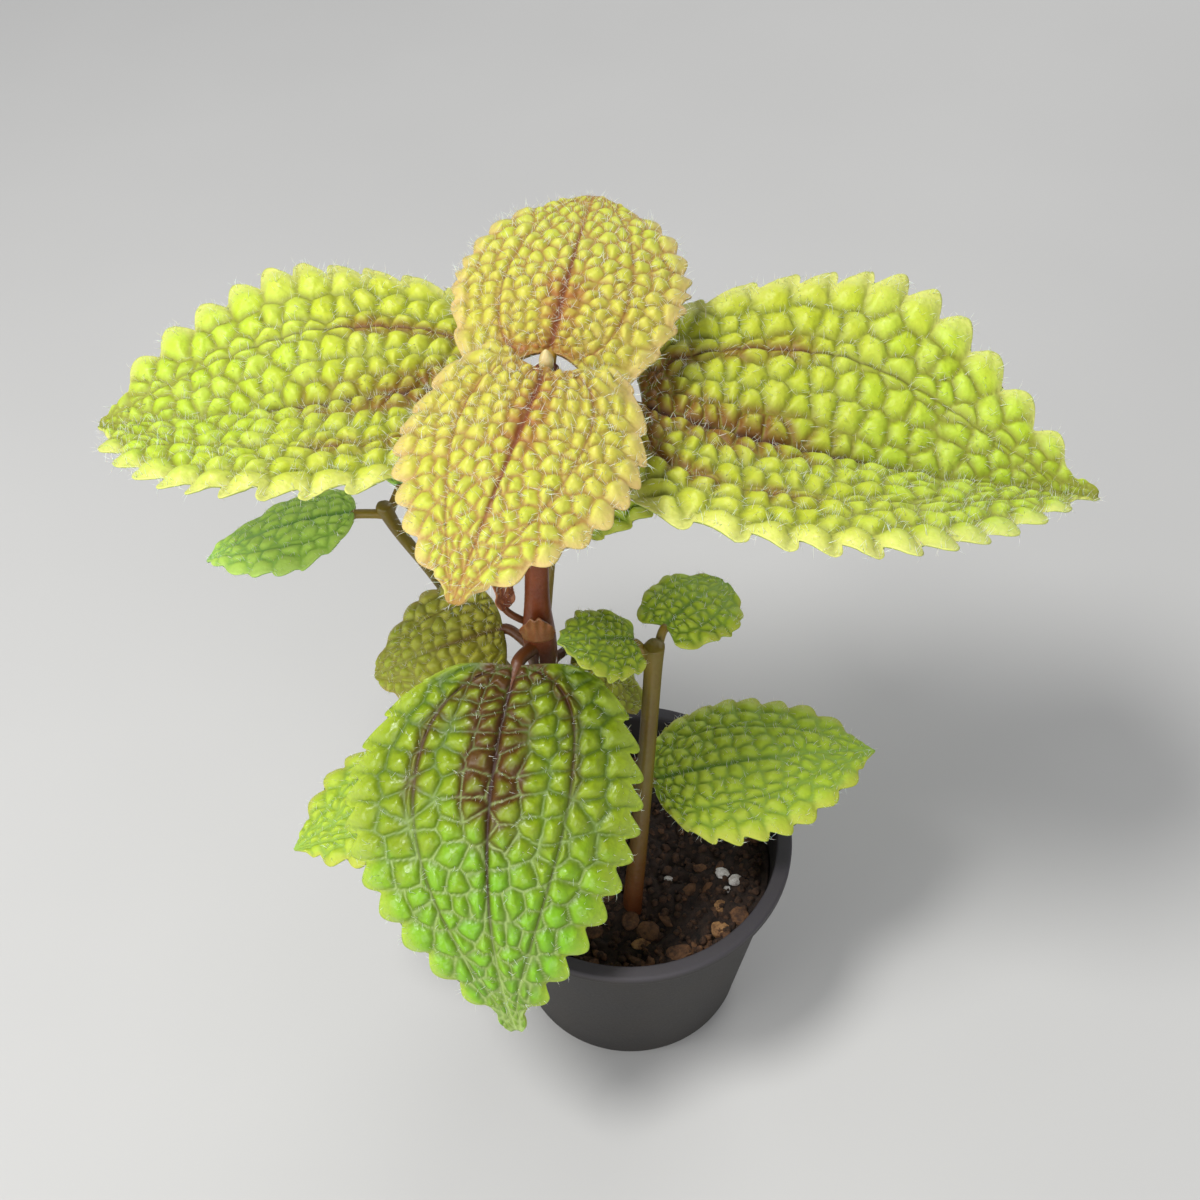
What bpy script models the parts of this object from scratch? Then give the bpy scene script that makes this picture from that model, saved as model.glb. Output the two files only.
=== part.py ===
"""A potted friendship plant: quilted, toothed leaves in crossed pairs on a leaning stem, with two side
shoots, in a small round nursery pot. Metres, +Z up, origin at the centre of the pot's underside."""

import math

import bmesh
import bpy
from mathutils import Matrix, Vector, noise

MM = 0.001
GAP = 0.3 * MM

# Pot: a thin tapered wall with a turned-out lip.
POT_HEIGHT = 46 * MM
RIM_RADIUS = 30 * MM
WALL_TOP_RADIUS = 28.2 * MM
WALL_FOOT_RADIUS = 21.6 * MM
FOOT_RADIUS = 18.6 * MM
FOOT_ROUNDING = 3.2 * MM
WALL = 0.9 * MM
FLOOR = 1.4 * MM
LIP_DROP = 2.2 * MM
POT_SIDES = 40
DRAIN_COUNT = 4
DRAIN_RADIUS = 2.4 * MM
DRAIN_RING_RADIUS = 12 * MM

# Soil: fills the pot to a little below the lip, with a lumpy top.
SOIL_LEVEL = 38 * MM
SOIL_LUMP = 1.5 * MM
SOIL_LUMP_SIZE = 6 * MM
SOIL_RINGS = 9
SOIL_SIDES = 32
STEM_DEPTH = 16 * MM

# Stems: (x, y, z, radius), from the buried end up.
MAIN_STEM = (
    (-5.2, -0.8, 22.0, 2.5),
    (-5.2, -0.8, 36.0, 2.5),
    (-7.0, 0.7, 50.0, 2.3),
    (-8.8, 2.2, 60.0, 2.9),
    (-11.0, 4.2, 70.0, 2.2),
    (-13.2, 7.0, 82.0, 2.15),
    (-14.2, 8.5, 92.0, 2.8),
    (-14.2, 9.9, 102.0, 2.05),
    (-13.4, 12.0, 118.0, 1.9),
    (-12.0, 14.2, 132.0, 1.9),
    (-11.2, 15.2, 139.5, 2.5),
    (-10.8, 15.6, 145.0, 1.9),
)
RIGHT_STEM = (
    (0.2, -11.4, 24.0, 1.8),
    (0.2, -11.4, 38.0, 1.8),
    (1.6, -7.4, 54.0, 1.6),
    (3.4, -0.6, 74.0, 1.5),
    (4.5, 4.0, 88.0, 1.55),
    (4.8, 5.6, 93.0, 1.8),
)
LEFT_BRANCH = (
    (-13.4, 7.4, 69.0, 1.25),
    (-17.6, 13.0, 71.5, 1.2),
    (-27.0, 24.0, 78.0, 1.15),
    (-33.4, 28.6, 87.5, 1.1),
    (-38.2, 29.4, 97.0, 1.1),
    (-40.4, 29.6, 103.5, 1.4),
)
STEM_SIDES = 10

BUD_RADIUS = 1.3 * MM
BUD_HEIGHT = 3.4 * MM
BUD_SIDES = 12
BUD_PROFILE = ((0.75, 0.02), (1.0, 0.25), (0.95, 0.45), (0.6, 0.75), (0.3, 0.93))

SHEATH_BOTTOM = 94.8 * MM
SHEATH_HEIGHT = 6.5 * MM
SHEATH_THICKNESS = 0.6 * MM
SHEATH_FLARE = 0.6 * MM
SHEATH_MIDDLE = math.radians(-92)
SHEATH_SPAN = math.radians(96)
SHEATH_ROWS = 4
SHEATH_COLUMNS = 8

PETIOLE_SIDES = 8
PETIOLE_RINGS = 5
PETIOLE_FLARE = 1.25
PETIOLE_REACH = 0.4
PETIOLE_CLEARANCE = 2.3 * GAP
TOOTH_LIMIT = 0.3
BASE_BLUNTNESS = 2.4
TOOTH_SLANT = 0.6
LOBE_PEAK = 0.06
LOBE_CURVE = 1.6
MARGIN_RELIEF = 0.6
VEIN_SWEEP = 0.15
VEIN_CURVE = 1.25
MIDRIB_DEPTH = 0.45
LATERAL_DEPTH = 0.2


class Leaf:
    """One leaf: its blade from base to tip, how it bends, and the height where it leaves a stem.

    Lengths are in millimetres and angles in degrees. fold lifts both halves from the midrib, droop
    curls the margins down, bow carries the midrib sideways, lobe is how far the blade reaches back
    on either side of the petiole, and relief is how high the quilting is.
    """

    def __init__(self, name, stem, height, base, tip, width, teeth, columns, relief, tooth, **shape):
        self.name = name
        self.joint = stem_face(stem, height, base) * MM
        self.base = Vector(base) * MM
        self.tip = Vector(tip) * MM
        self.half_width = width * MM / 2
        self.rows = 2 * teeth
        self.columns = 2 * columns
        self.relief = relief * MM
        self.tooth = tooth * MM
        self.roll = math.radians(shape.get("roll", 0))
        self.arch = math.radians(shape.get("arch", 20))
        self.fold = math.tan(math.radians(shape.get("fold", 0)))
        self.droop = shape.get("droop", 0.2)
        self.bow = shape.get("bow", 0) * MM
        self.lobe = shape.get("lobe", 0) * MM
        self.widest = shape.get("widest", 0.4)
        self.base_power = shape.get("base_power", 0.42)
        self.tip_power = shape.get("tip_power", 1.1)
        self.thickness = shape.get("thickness", 0.8) * MM
        self.stalk = shape.get("stalk", 1.0) * MM
        self.colour = shape.get("colour", "leaf_lime")
        chord = self.tip - self.base
        self.along = chord.normalized()
        up = Vector((0, 0, 1))
        up = (up - self.along * up.dot(self.along)).normalized()
        self.up = Matrix.Rotation(self.roll, 3, self.along) @ up
        self.side = self.along.cross(self.up)
        self.length = chord.length * self.arch / 2 / math.sin(self.arch / 2)

    def heading(self, t):
        """The midrib's direction and the blade's normal at t, from 0 at the base to 1 at the tip."""
        angle = self.arch * (0.5 - t)
        ahead = self.along * math.cos(angle) + self.up * math.sin(angle)
        normal = self.up * math.cos(angle) - self.along * math.sin(angle)
        return ahead, normal

    def midrib(self, t):
        """The point on the midrib at t, which follows an arc."""
        turned = self.arch * (0.5 - t)
        ahead = (math.sin(self.arch / 2) - math.sin(turned)) / self.arch
        rise = (math.cos(turned) - math.cos(self.arch / 2)) / self.arch
        arc = (self.along * ahead + self.up * rise) * self.length
        return self.base + arc + self.side * self.bow * 4 * t * (1 - t)

    def outline(self, t):
        """Half the blade's width at t: a blunt base, then an even taper to the tip."""
        if t < self.widest:
            return self.half_width * (1 - (1 - t / self.widest) ** BASE_BLUNTNESS) ** self.base_power
        return self.half_width * (1 - ((t - self.widest) / (1 - self.widest)) ** 2) ** self.tip_power

    def point(self, across, t, height):
        """A point of the upper face: across the blade in metres, along it at t, raised by height."""
        _, normal = self.heading(t)
        fall = self.droop * across * across / self.half_width
        rise = self.fold * (1 - (1 - max(t, 0)) ** 3) * abs(across) - fall + height
        return self.midrib(t) + self.side * across + normal * rise

    def is_blister(self, i, j):
        """True where grid point i, j is the middle of a quilted cell: cells stand in staggered rows."""
        return i % 2 == 1 and (j + i // 2) % 2 == 1

    def relief_at(self, i, j):
        """How far grid point i, j stands out of the blade: blisters rise and the main veins sink."""
        middle = self.columns
        if j == 1:
            return 0.0
        if self.is_blister(i, j):
            return self.relief * (MARGIN_RELIEF if i in (1, 2 * middle - 1) else 1.0)
        if i == middle:
            return -MIDRIB_DEPTH * self.relief
        if abs(i - middle) == middle // 2:
            return -LATERAL_DEPTH * self.relief
        return 0.0

    def grid_point(self, i, j):
        """Upper-face point i across, j along, and the normal there. Margins step out to a tooth."""
        share = (i - self.columns) / self.columns
        edge = j / self.rows
        start = edge - VEIN_SWEEP * 4 * edge * (1 - edge)
        back = edge / LOBE_PEAK * math.exp(1 - edge / LOBE_PEAK) * self.lobe / self.length
        t = start + (edge - start) * abs(share) ** VEIN_CURVE - back * abs(share) ** LOBE_CURVE
        across = share * self.outline(edge)
        if abs(share) == 1 and j > 1 and self.is_blister(1, j):
            reach = min(self.tooth, TOOTH_LIMIT * self.outline(edge))
            across += math.copysign(reach, share)
            t = min(t + TOOTH_SLANT * reach / self.length, 1.0)
        return self.point(across, t, self.relief_at(i, j)), self.heading(t)[1]


def material(name, colour, roughness, metallic=0.0):
    """A plain Principled material."""
    made = bpy.data.materials.new(name)
    made.use_nodes = True
    shader = made.node_tree.nodes["Principled BSDF"]
    shader.inputs["Base Color"].default_value = (*colour, 1)
    shader.inputs["Roughness"].default_value = roughness
    shader.inputs["Metallic"].default_value = metallic
    return made


def add_object(name, data, finish):
    """Links data as a named object with one material."""
    made = bpy.data.objects.new(name, data)
    data.materials.append(finish)
    bpy.context.scene.collection.objects.link(made)
    return made


def mesh_object(name, bm, finish, sharp_degrees=40):
    """Turns a bmesh into a named object, smooth except at sharp edges."""
    bmesh.ops.recalc_face_normals(bm, faces=bm.faces)
    mesh = bpy.data.meshes.new(name)
    bm.to_mesh(mesh)
    bm.free()
    mesh.shade_smooth()
    mesh.set_sharp_from_angle(angle=math.radians(sharp_degrees))
    return add_object(name, mesh, finish)


def smooth_path(points, per_span):
    """Points read from a Catmull-Rom curve through the given ones. Each may carry a radius last."""
    ends = [points[0], *points, points[-1]]
    path = []
    for a, b, c, d in zip(ends, ends[1:], ends[2:], ends[3:], strict=False):
        for k in range(per_span):
            t = k / per_span
            path.append(
                [
                    0.5 * (2 * q + t * (r - p) + t * t * (2 * p - 5 * q + 4 * r - s)
                           + t**3 * (3 * q - p - 3 * r + s))
                    for p, q, r, s in zip(a, b, c, d, strict=True)
                ]
            )
    path.append(list(points[-1]))
    return path


def stem(name, points, finish):
    """A round stem along a smooth path, thicker at its leaf joints."""
    curve = bpy.data.curves.new(name, "CURVE")
    curve.dimensions = "3D"
    curve.bevel_depth = 1.0 * MM
    curve.bevel_resolution = STEM_SIDES // 2 - 2
    curve.use_fill_caps = True
    path = smooth_path(points, 2)
    spline = curve.splines.new("POLY")
    spline.points.add(len(path) - 1)
    for point, (x, y, z, radius) in zip(spline.points, path, strict=True):
        point.co = (x * MM, y * MM, z * MM, 1)
        point.radius = radius
    return add_object(name, curve, finish)


def revolve(profile, sides):
    """A closed surface turned round Z from a profile of (radius, height) whose ends lie on the axis."""
    bm = bmesh.new()
    verts = [bm.verts.new((radius, 0, height)) for radius, height in profile]
    edges = [bm.edges.new(pair) for pair in zip(verts, verts[1:], strict=False)]
    bmesh.ops.spin(
        bm, geom=verts + edges, cent=(0, 0, 0), axis=(0, 0, 1), angle=math.tau, steps=sides,
        use_merge=True, use_duplicate=False,
    )
    bmesh.ops.remove_doubles(bm, verts=bm.verts, dist=0.01 * MM)
    return bm


def cylinder(name, centre, radius, bottom, top, sides):
    """An upright cutter."""
    bm = bmesh.new()
    bmesh.ops.create_cone(
        bm, cap_ends=True, segments=sides, radius1=radius, radius2=radius, depth=top - bottom
    )
    bmesh.ops.translate(bm, verts=bm.verts, vec=(centre[0], centre[1], (top + bottom) / 2))
    mesh = bpy.data.meshes.new(name)
    bm.to_mesh(mesh)
    bm.free()
    made = bpy.data.objects.new(name, mesh)
    bpy.context.scene.collection.objects.link(made)
    made.hide_render = True
    made.display_type = "WIRE"
    return made


def cut(target, cutter):
    """Cuts cutter out of target with a Boolean."""
    modifier = target.modifiers.new(cutter.name, "BOOLEAN")
    modifier.operation = "DIFFERENCE"
    modifier.object = cutter


def inner_radius(height):
    """The radius of the pot's inner wall at a height."""
    share = (height - FOOT_ROUNDING) / (POT_HEIGHT - LIP_DROP - FOOT_ROUNDING)
    return WALL_FOOT_RADIUS + (WALL_TOP_RADIUS - WALL_FOOT_RADIUS) * share - WALL


def pot(finish):
    """The pot: one turned wall from its flat foot to its lip, with drain holes round the middle."""
    corner = [
        (
            FOOT_RADIUS + (WALL_FOOT_RADIUS - FOOT_RADIUS) * math.sin(angle),
            FOOT_ROUNDING * (1 - math.cos(angle)),
        )
        for angle in (0, math.pi / 6, math.pi / 3, math.pi / 2)
    ]
    lip_edge = RIM_RADIUS - 0.35 * MM
    profile = [
        (0, 0),
        *corner,
        (WALL_TOP_RADIUS, POT_HEIGHT - LIP_DROP),
        (lip_edge, POT_HEIGHT - LIP_DROP),
        (RIM_RADIUS, POT_HEIGHT - LIP_DROP + 0.5 * MM),
        (RIM_RADIUS, POT_HEIGHT - 0.5 * MM),
        (lip_edge, POT_HEIGHT),
        (WALL_TOP_RADIUS - WALL + 0.4 * MM, POT_HEIGHT),
        (WALL_TOP_RADIUS - WALL, POT_HEIGHT - 0.5 * MM),
        (inner_radius(FOOT_ROUNDING + FLOOR), FOOT_ROUNDING + FLOOR),
        (FOOT_RADIUS, FLOOR),
        (0, FLOOR),
    ]
    made = mesh_object("pot", revolve(profile, POT_SIDES), finish)
    for k in range(DRAIN_COUNT):
        angle = math.tau * (k + 0.5) / DRAIN_COUNT
        centre = (DRAIN_RING_RADIUS * math.cos(angle), DRAIN_RING_RADIUS * math.sin(angle))
        cut(made, cylinder(f"drain_cutter_{k + 1}", centre, DRAIN_RADIUS, -FLOOR, 2 * FLOOR, 10))
    return made


def soil(finish):
    """The soil: it fills the pot, has a lumpy top, and holds a plain hole for each stem."""
    low, foot = FLOOR + GAP, FOOT_ROUNDING + FLOOR
    top_radius = inner_radius(SOIL_LEVEL) - 2.3 * GAP
    profile = [
        (0, low),
        (FOOT_RADIUS - 2 * GAP, low),
        (inner_radius(foot) - 2 * GAP, foot),
        (top_radius, SOIL_LEVEL),
        *((top_radius * k / SOIL_RINGS, SOIL_LEVEL) for k in reversed(range(SOIL_RINGS))),
    ]
    bm = revolve(profile, SOIL_SIDES)
    for vert in bm.verts:
        if vert.co.z > SOIL_LEVEL - GAP:
            place = Vector((vert.co.x, vert.co.y, 0)) / SOIL_LUMP_SIZE
            fade = 1 - (vert.co.xy.length / top_radius) ** 4
            vert.co.z += SOIL_LUMP * noise.noise(place) * (0.35 + 0.65 * fade)
    made = mesh_object("soil", bm, finish)
    for name, points in (("main_stem", MAIN_STEM), ("right_stem", RIGHT_STEM)):
        buried, radius = Vector(points[0][:3]) * MM, points[0][3] * MM
        centre = (Vector(points[0][:2]) + Vector(points[1][:2])) / 2 * MM
        hole = cylinder(
            f"{name}_hole", centre, radius + 2.8 * GAP, buried.z - GAP, SOIL_LEVEL + STEM_DEPTH, 12
        )
        cut(made, hole)
    return made


def crown_bud(finish):
    """The growing tip: a small pointed bud standing just clear of the main stem's top."""
    profile = [(0, 0)]
    for share, height in BUD_PROFILE:
        profile.append((BUD_RADIUS * share, BUD_HEIGHT * height))
    profile.append((0, BUD_HEIGHT))
    bm = revolve(profile, BUD_SIDES)
    x, y, z, _ = MAIN_STEM[-1]
    bmesh.ops.translate(bm, verts=bm.verts, vec=Vector((x, y, z)) * MM + Vector((0, 0, 1.3 * GAP)))
    mesh_object("crown_bud", bm, finish)


def node_sheath(finish):
    """The papery sheath clasping the front of the middle leaf joint: a curved strip that flares."""
    x, y, _, radius = next(p for p in smooth_path(MAIN_STEM, 8) if p[2] > SHEATH_BOTTOM / MM)
    bm = bmesh.new()
    faces = []
    for layer in (0, SHEATH_THICKNESS):
        rows = []
        for j in range(SHEATH_ROWS + 1):
            rise = j / SHEATH_ROWS
            ring = []
            for i in range(SHEATH_COLUMNS + 1):
                angle = SHEATH_MIDDLE + SHEATH_SPAN * (i / SHEATH_COLUMNS - 0.5)
                crest = 1 - (2 * i / SHEATH_COLUMNS - 1) ** 2
                reach = radius * MM + 2 * GAP + layer + SHEATH_FLARE * rise * rise
                height = SHEATH_BOTTOM + SHEATH_HEIGHT * rise * (0.3 + 0.7 * crest)
                ring.append(
                    bm.verts.new((x * MM + reach * math.cos(angle), y * MM + reach * math.sin(angle),
                                  height))
                )
            rows.append(ring)
        faces.append(rows)
    close_sheet(bm, *faces)
    mesh_object("node_sheath", bm, finish)


def close_sheet(bm, upper, lower):
    """Joins two like grids of verts into one closed sheet, both split the same way."""
    rows, columns = len(upper), len(upper[0])
    for grid in (upper, lower):
        for j in range(rows - 1):
            for i in range(columns - 1):
                a, b = grid[j][i], grid[j][i + 1]
                c, d = grid[j + 1][i + 1], grid[j + 1][i]
                bm.faces.new((a, b, c))
                bm.faces.new((a, c, d))
    rim = [(0, i) for i in range(columns)]
    rim += [(j, columns - 1) for j in range(1, rows)]
    rim += [(rows - 1, i) for i in reversed(range(columns - 1))]
    rim += [(j, 0) for j in reversed(range(1, rows - 1))]
    for (j, i), (n, m) in zip(rim, rim[1:] + rim[:1], strict=True):
        bm.faces.new((upper[j][i], upper[n][m], lower[n][m], lower[j][i]))


def petiole_rings(leaf):
    """Rings of points round the petiole, from its end at the stem to the blade's base."""
    ahead, _ = leaf.heading(0)
    reach = (leaf.base - leaf.joint).length * PETIOLE_REACH
    outward = leaf.base - leaf.joint
    outward = Vector((outward.x, outward.y, 0)).normalized()
    controls = (leaf.joint, leaf.joint + outward * reach, leaf.base - ahead * reach, leaf.base)
    rings = []
    for k in range(PETIOLE_RINGS + 1):
        t = k / PETIOLE_RINGS
        weights = ((1 - t) ** 3, 3 * t * (1 - t) ** 2, 3 * t * t * (1 - t), t**3)
        slopes = (-3 * (1 - t) ** 2, 3 * (1 - t) * (1 - 3 * t), 3 * t * (2 - 3 * t), 3 * t * t)
        centre = sum((p * w for p, w in zip(controls, weights, strict=True)), Vector())
        ahead = sum((p * w for p, w in zip(controls, slopes, strict=True)), Vector()).normalized()
        up = leaf.side.cross(ahead).normalized()
        side = ahead.cross(up)
        radius = leaf.stalk * (PETIOLE_FLARE + (1 - PETIOLE_FLARE) * min(3 * t, 1))
        ring = []
        for m in range(PETIOLE_SIDES):
            angle = math.pi * (1 - 2 * m / PETIOLE_SIDES)
            ring.append(centre + (side * math.cos(angle) + up * math.sin(angle)) * radius)
        rings.append(ring)
    return rings


def zip_strips(bm, near, far):
    """Triangles between two rows of verts with different counts."""
    i = j = 0
    while i < len(near) - 1 or j < len(far) - 1:
        step_near = i < len(near) - 1 and (
            j == len(far) - 1 or (i + 1) / (len(near) - 1) <= (j + 1) / (len(far) - 1)
        )
        if step_near:
            bm.faces.new((near[i], near[i + 1], far[j]))
            i += 1
        else:
            bm.faces.new((near[i], far[j + 1], far[j]))
            j += 1


def leaf_blade(bm, leaf):
    """The blade's two faces and its margin. Returns the first row of each face."""
    across = range(2 * leaf.columns + 1)
    upper, lower = [], []
    for j in range(1, leaf.rows):
        places = [leaf.grid_point(i, j) for i in across]
        upper.append([bm.verts.new(p) for p, _ in places])
        lower.append([bm.verts.new(p - normal * leaf.thickness) for p, normal in places])
    for j in range(leaf.rows - 2):
        for i in across[:-1]:
            slanted = leaf.is_blister(i, j + 1) or leaf.is_blister(i + 1, j + 2)
            for row in (upper, lower):
                a, b, c, d = row[j][i], row[j][i + 1], row[j + 1][i + 1], row[j + 1][i]
                bm.faces.new((a, b, c) if slanted else (a, b, d))
                bm.faces.new((a, c, d) if slanted else (b, c, d))
        for i in (0, across[-1]):
            bm.faces.new((upper[j][i], lower[j][i], lower[j + 1][i], upper[j + 1][i]))
    _, normal = leaf.heading(1)
    tip_upper = bm.verts.new(leaf.point(0, 1, 0))
    tip_lower = bm.verts.new(leaf.point(0, 1, 0) - normal * leaf.thickness)
    for i in across[:-1]:
        bm.faces.new((upper[-1][i], upper[-1][i + 1], tip_upper))
        bm.faces.new((lower[-1][i], lower[-1][i + 1], tip_lower))
    for i in (0, across[-1]):
        bm.faces.new((upper[-1][i], lower[-1][i], tip_lower, tip_upper))
    return upper[0], lower[0]


def leaf_object(leaf, finish):
    """A leaf as one closed solid: blade, margin and petiole."""
    bm = bmesh.new()
    upper, lower = leaf_blade(bm, leaf)
    rings = [[bm.verts.new(p) for p in ring] for ring in petiole_rings(leaf)]
    for ring, following in zip(rings, rings[1:], strict=False):
        for m in range(PETIOLE_SIDES):
            n = (m + 1) % PETIOLE_SIDES
            bm.faces.new((ring[m], ring[n], following[n], following[m]))
    bm.faces.new(rings[0])
    half = PETIOLE_SIDES // 2
    collar = rings[-1]
    zip_strips(bm, collar[: half + 1], upper)
    zip_strips(bm, [collar[0], *reversed(collar[half:])], lower)
    for end, corner in ((0, collar[0]), (-1, collar[half])):
        bm.faces.new((corner, upper[end], lower[end]))
    return mesh_object(leaf.name, bm, finish)


def stem_face(points, height, towards):
    """A point (in mm) just clear of a stem's surface at a height, on the side facing another point."""
    path = smooth_path(points, 8)
    nearest = min(path, key=lambda p: abs(p[2] - height))
    outward = Vector((towards[0] - nearest[0], towards[1] - nearest[1], 0)).normalized()
    return Vector(nearest[:3]) + outward * (nearest[3] + PETIOLE_CLEARANCE / MM)


def leaves():
    """Every leaf, from the crown down."""
    return (
        Leaf("leaf_crown_right", MAIN_STEM, 138.5, (3.2, 16.8, 136.0), (74.3, 10.5, 120.0),
             55, 13, 4, 1.3, 2.6, arch=-14, fold=30, roll=3, droop=0.04, bow=0.6, lobe=6,
             widest=0.43, tip_power=1.5, stalk=1.3, colour="leaf_lime"),
        Leaf("leaf_crown_left", MAIN_STEM, 138.5, (-21.4, 21.5, 138.0), (-83.7, 28.6, 125.0),
             49, 12, 4, 1.3, 2.6, arch=8, fold=21, droop=0.04, bow=-3, lobe=6, widest=0.43,
             stalk=1.3, colour="leaf_lime"),
        Leaf("leaf_crown_front", MAIN_STEM, 143.0, (-11.2, 9.8, 147.6), (-24.2, -22.0, 136.0),
             33, 10, 4, 0.9, 1.4, arch=50, bow=-1.2, lobe=4.5, widest=0.36, colour="leaf_young"),
        Leaf("leaf_crown_back", MAIN_STEM, 143.0, (-9.6, 21.4, 146.8), (-3.0, 51.3, 150.0),
             34, 10, 4, 0.9, 1.1, arch=24, lobe=5, widest=0.46, tip_power=0.7,
             colour="leaf_young"),
        Leaf("leaf_mid_front", MAIN_STEM, 92.6, (-17.9, 1.6, 94.2), (-20.3, -38.8, 45.0),
             46, 13, 4, 1.3, 2.3, arch=44, droop=0.3, bow=4.4, lobe=2.5, widest=0.38,
             base_power=0.5, tip_power=1.3, stalk=1.15, colour="leaf_green"),
        Leaf("leaf_mid_back", MAIN_STEM, 93.0, (-10.0, 21.8, 107.4), (13.0, 40.0, 109.6),
             18, 8, 2, 0.9, 1.0, arch=30, lobe=2, stalk=0.95, colour="leaf_green"),
        Leaf("leaf_shoot_left", MAIN_STEM, 88.5, (-20.6, 13.5, 89.5), (-44.3, 14.6, 76.0),
             23, 7, 2, 0.9, 0.8, arch=40, droop=0.3, roll=-28, stalk=0.9, colour="leaf_green"),
        Leaf("leaf_shoot_right", MAIN_STEM, 86.0, (-8.5, 12.0, 85.5), (3.0, 8.5, 72.5),
             14, 5, 1, 0.8, 0.8, arch=30, droop=0.3, stalk=0.8, colour="leaf_green"),
        Leaf("young_leaf", MAIN_STEM, 96.0, (-19.4, 9.4, 99.0), (-21.6, 11.6, 110.0),
             4, 3, 1, 0.2, 0.2, fold=25, droop=0, stalk=0.6, thickness=0.6, colour="stem_red"),
        Leaf("leaf_low_right", MAIN_STEM, 60.0, (4.3, 2.0, 60.0), (45.1, 7.1, 60.0),
             29, 9, 3, 1.0, 1.5, arch=24, fold=4, colour="leaf_green"),
        Leaf("leaf_low_left", MAIN_STEM, 60.0, (-27.0, 5.0, 65.0), (-60.0, -6.6, 54.0),
             25, 8, 2, 1.0, 1.6, arch=24, fold=4, colour="leaf_green"),
        Leaf("leaf_side_right", RIGHT_STEM, 90.0, (7.5, 10.6, 93.6), (17.6, 20.6, 91.6),
             16, 6, 2, 0.8, 0.5, arch=30, lobe=1.5, widest=0.5, tip_power=0.6, stalk=0.8,
             thickness=0.7, colour="leaf_green"),
        Leaf("leaf_side_left", RIGHT_STEM, 91.0, (0.2, 6.0, 94.4), (-11.0, 1.4, 98.0),
             13, 6, 2, 0.8, 0.7, arch=30, lobe=1.2, stalk=0.8, thickness=0.7,
             colour="leaf_green"),
        Leaf("leaf_branch_left", LEFT_BRANCH, 101.5, (-45.4, 29.6, 102.5), (-72.5, 28.0, 93.0),
             19, 6, 2, 0.8, 0.8, arch=30, roll=10, stalk=0.8, thickness=0.7,
             colour="leaf_green"),
        Leaf("leaf_branch_back", LEFT_BRANCH, 101.5, (-38.0, 34.4, 103.5), (-32.0, 47.0, 103.0),
             11, 5, 1, 0.8, 0.8, arch=30, stalk=0.8, thickness=0.7, colour="leaf_green"),
    )


def main():
    for old in list(bpy.data.objects):
        bpy.data.objects.remove(old)
    finishes = {
        "pot_plastic": material("pot_plastic", (0.035, 0.034, 0.036), 0.55),
        "soil": material("soil", (0.03, 0.02, 0.015), 0.95),
        "stem_red": material("stem_red", (0.20, 0.05, 0.012), 0.4),
        "stem_olive": material("stem_olive", (0.20, 0.13, 0.01), 0.45),
        "papery_brown": material("papery_brown", (0.30, 0.13, 0.04), 0.5),
        "leaf_young": material("leaf_young", (0.55, 0.48, 0.05), 0.45),
        "leaf_lime": material("leaf_lime", (0.50, 0.60, 0.05), 0.45),
        "leaf_green": material("leaf_green", (0.22, 0.42, 0.03), 0.4),
    }
    pot(finishes["pot_plastic"])
    soil(finishes["soil"])
    stem("main_stem", MAIN_STEM, finishes["stem_red"])
    stem("right_stem", RIGHT_STEM, finishes["stem_olive"])
    stem("left_branch", LEFT_BRANCH, finishes["stem_olive"])
    crown_bud(finishes["leaf_young"])
    node_sheath(finishes["papery_brown"])
    for leaf in leaves():
        leaf_object(leaf, finishes[leaf.colour])


main()
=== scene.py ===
"""Dresses a potted friendship plant: quilted hairy leaves, stems, crumbly soil and a thin pot."""

import logging
import math
from collections.abc import Sequence
from dataclasses import dataclass
from enum import Enum

import bmesh
import bpy
import numpy as np
from mathutils import Matrix, Vector, noise


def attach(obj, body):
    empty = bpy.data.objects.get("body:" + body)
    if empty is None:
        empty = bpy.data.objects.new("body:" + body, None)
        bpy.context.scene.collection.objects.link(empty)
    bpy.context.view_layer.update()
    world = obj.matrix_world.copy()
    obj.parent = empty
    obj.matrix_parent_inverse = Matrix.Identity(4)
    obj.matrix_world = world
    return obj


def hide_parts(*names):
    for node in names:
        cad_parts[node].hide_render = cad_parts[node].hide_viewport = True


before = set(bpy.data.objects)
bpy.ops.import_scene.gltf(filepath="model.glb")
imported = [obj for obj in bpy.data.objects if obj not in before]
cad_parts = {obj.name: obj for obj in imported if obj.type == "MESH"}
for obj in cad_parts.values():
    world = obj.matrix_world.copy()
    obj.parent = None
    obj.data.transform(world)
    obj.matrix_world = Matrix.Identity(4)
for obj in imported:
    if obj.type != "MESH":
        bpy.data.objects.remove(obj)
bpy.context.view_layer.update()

LOG = logging.getLogger("friendship_plant")
MM = 0.001
Colour = tuple[float, float, float, float]
Array = np.ndarray


def srgb(red: float, green: float, blue: float) -> Colour:
    """A linear colour from a screen's red, green and blue.

    Args:
        red: red, up to 255.
        green: green, up to 255.
        blue: blue, up to 255.

    Returns:
        Linear red, green and blue with full alpha.
    """
    parts = [v / 255 for v in (red, green, blue)]
    linear = [v / 12.92 if v < 0.04045 else ((v + 0.055) / 1.055) ** 2.4 for v in parts]
    return (linear[0], linear[1], linear[2], 1.0)


class Place(Enum):
    """Where the pieces ride."""

    BODY = "root"


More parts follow.
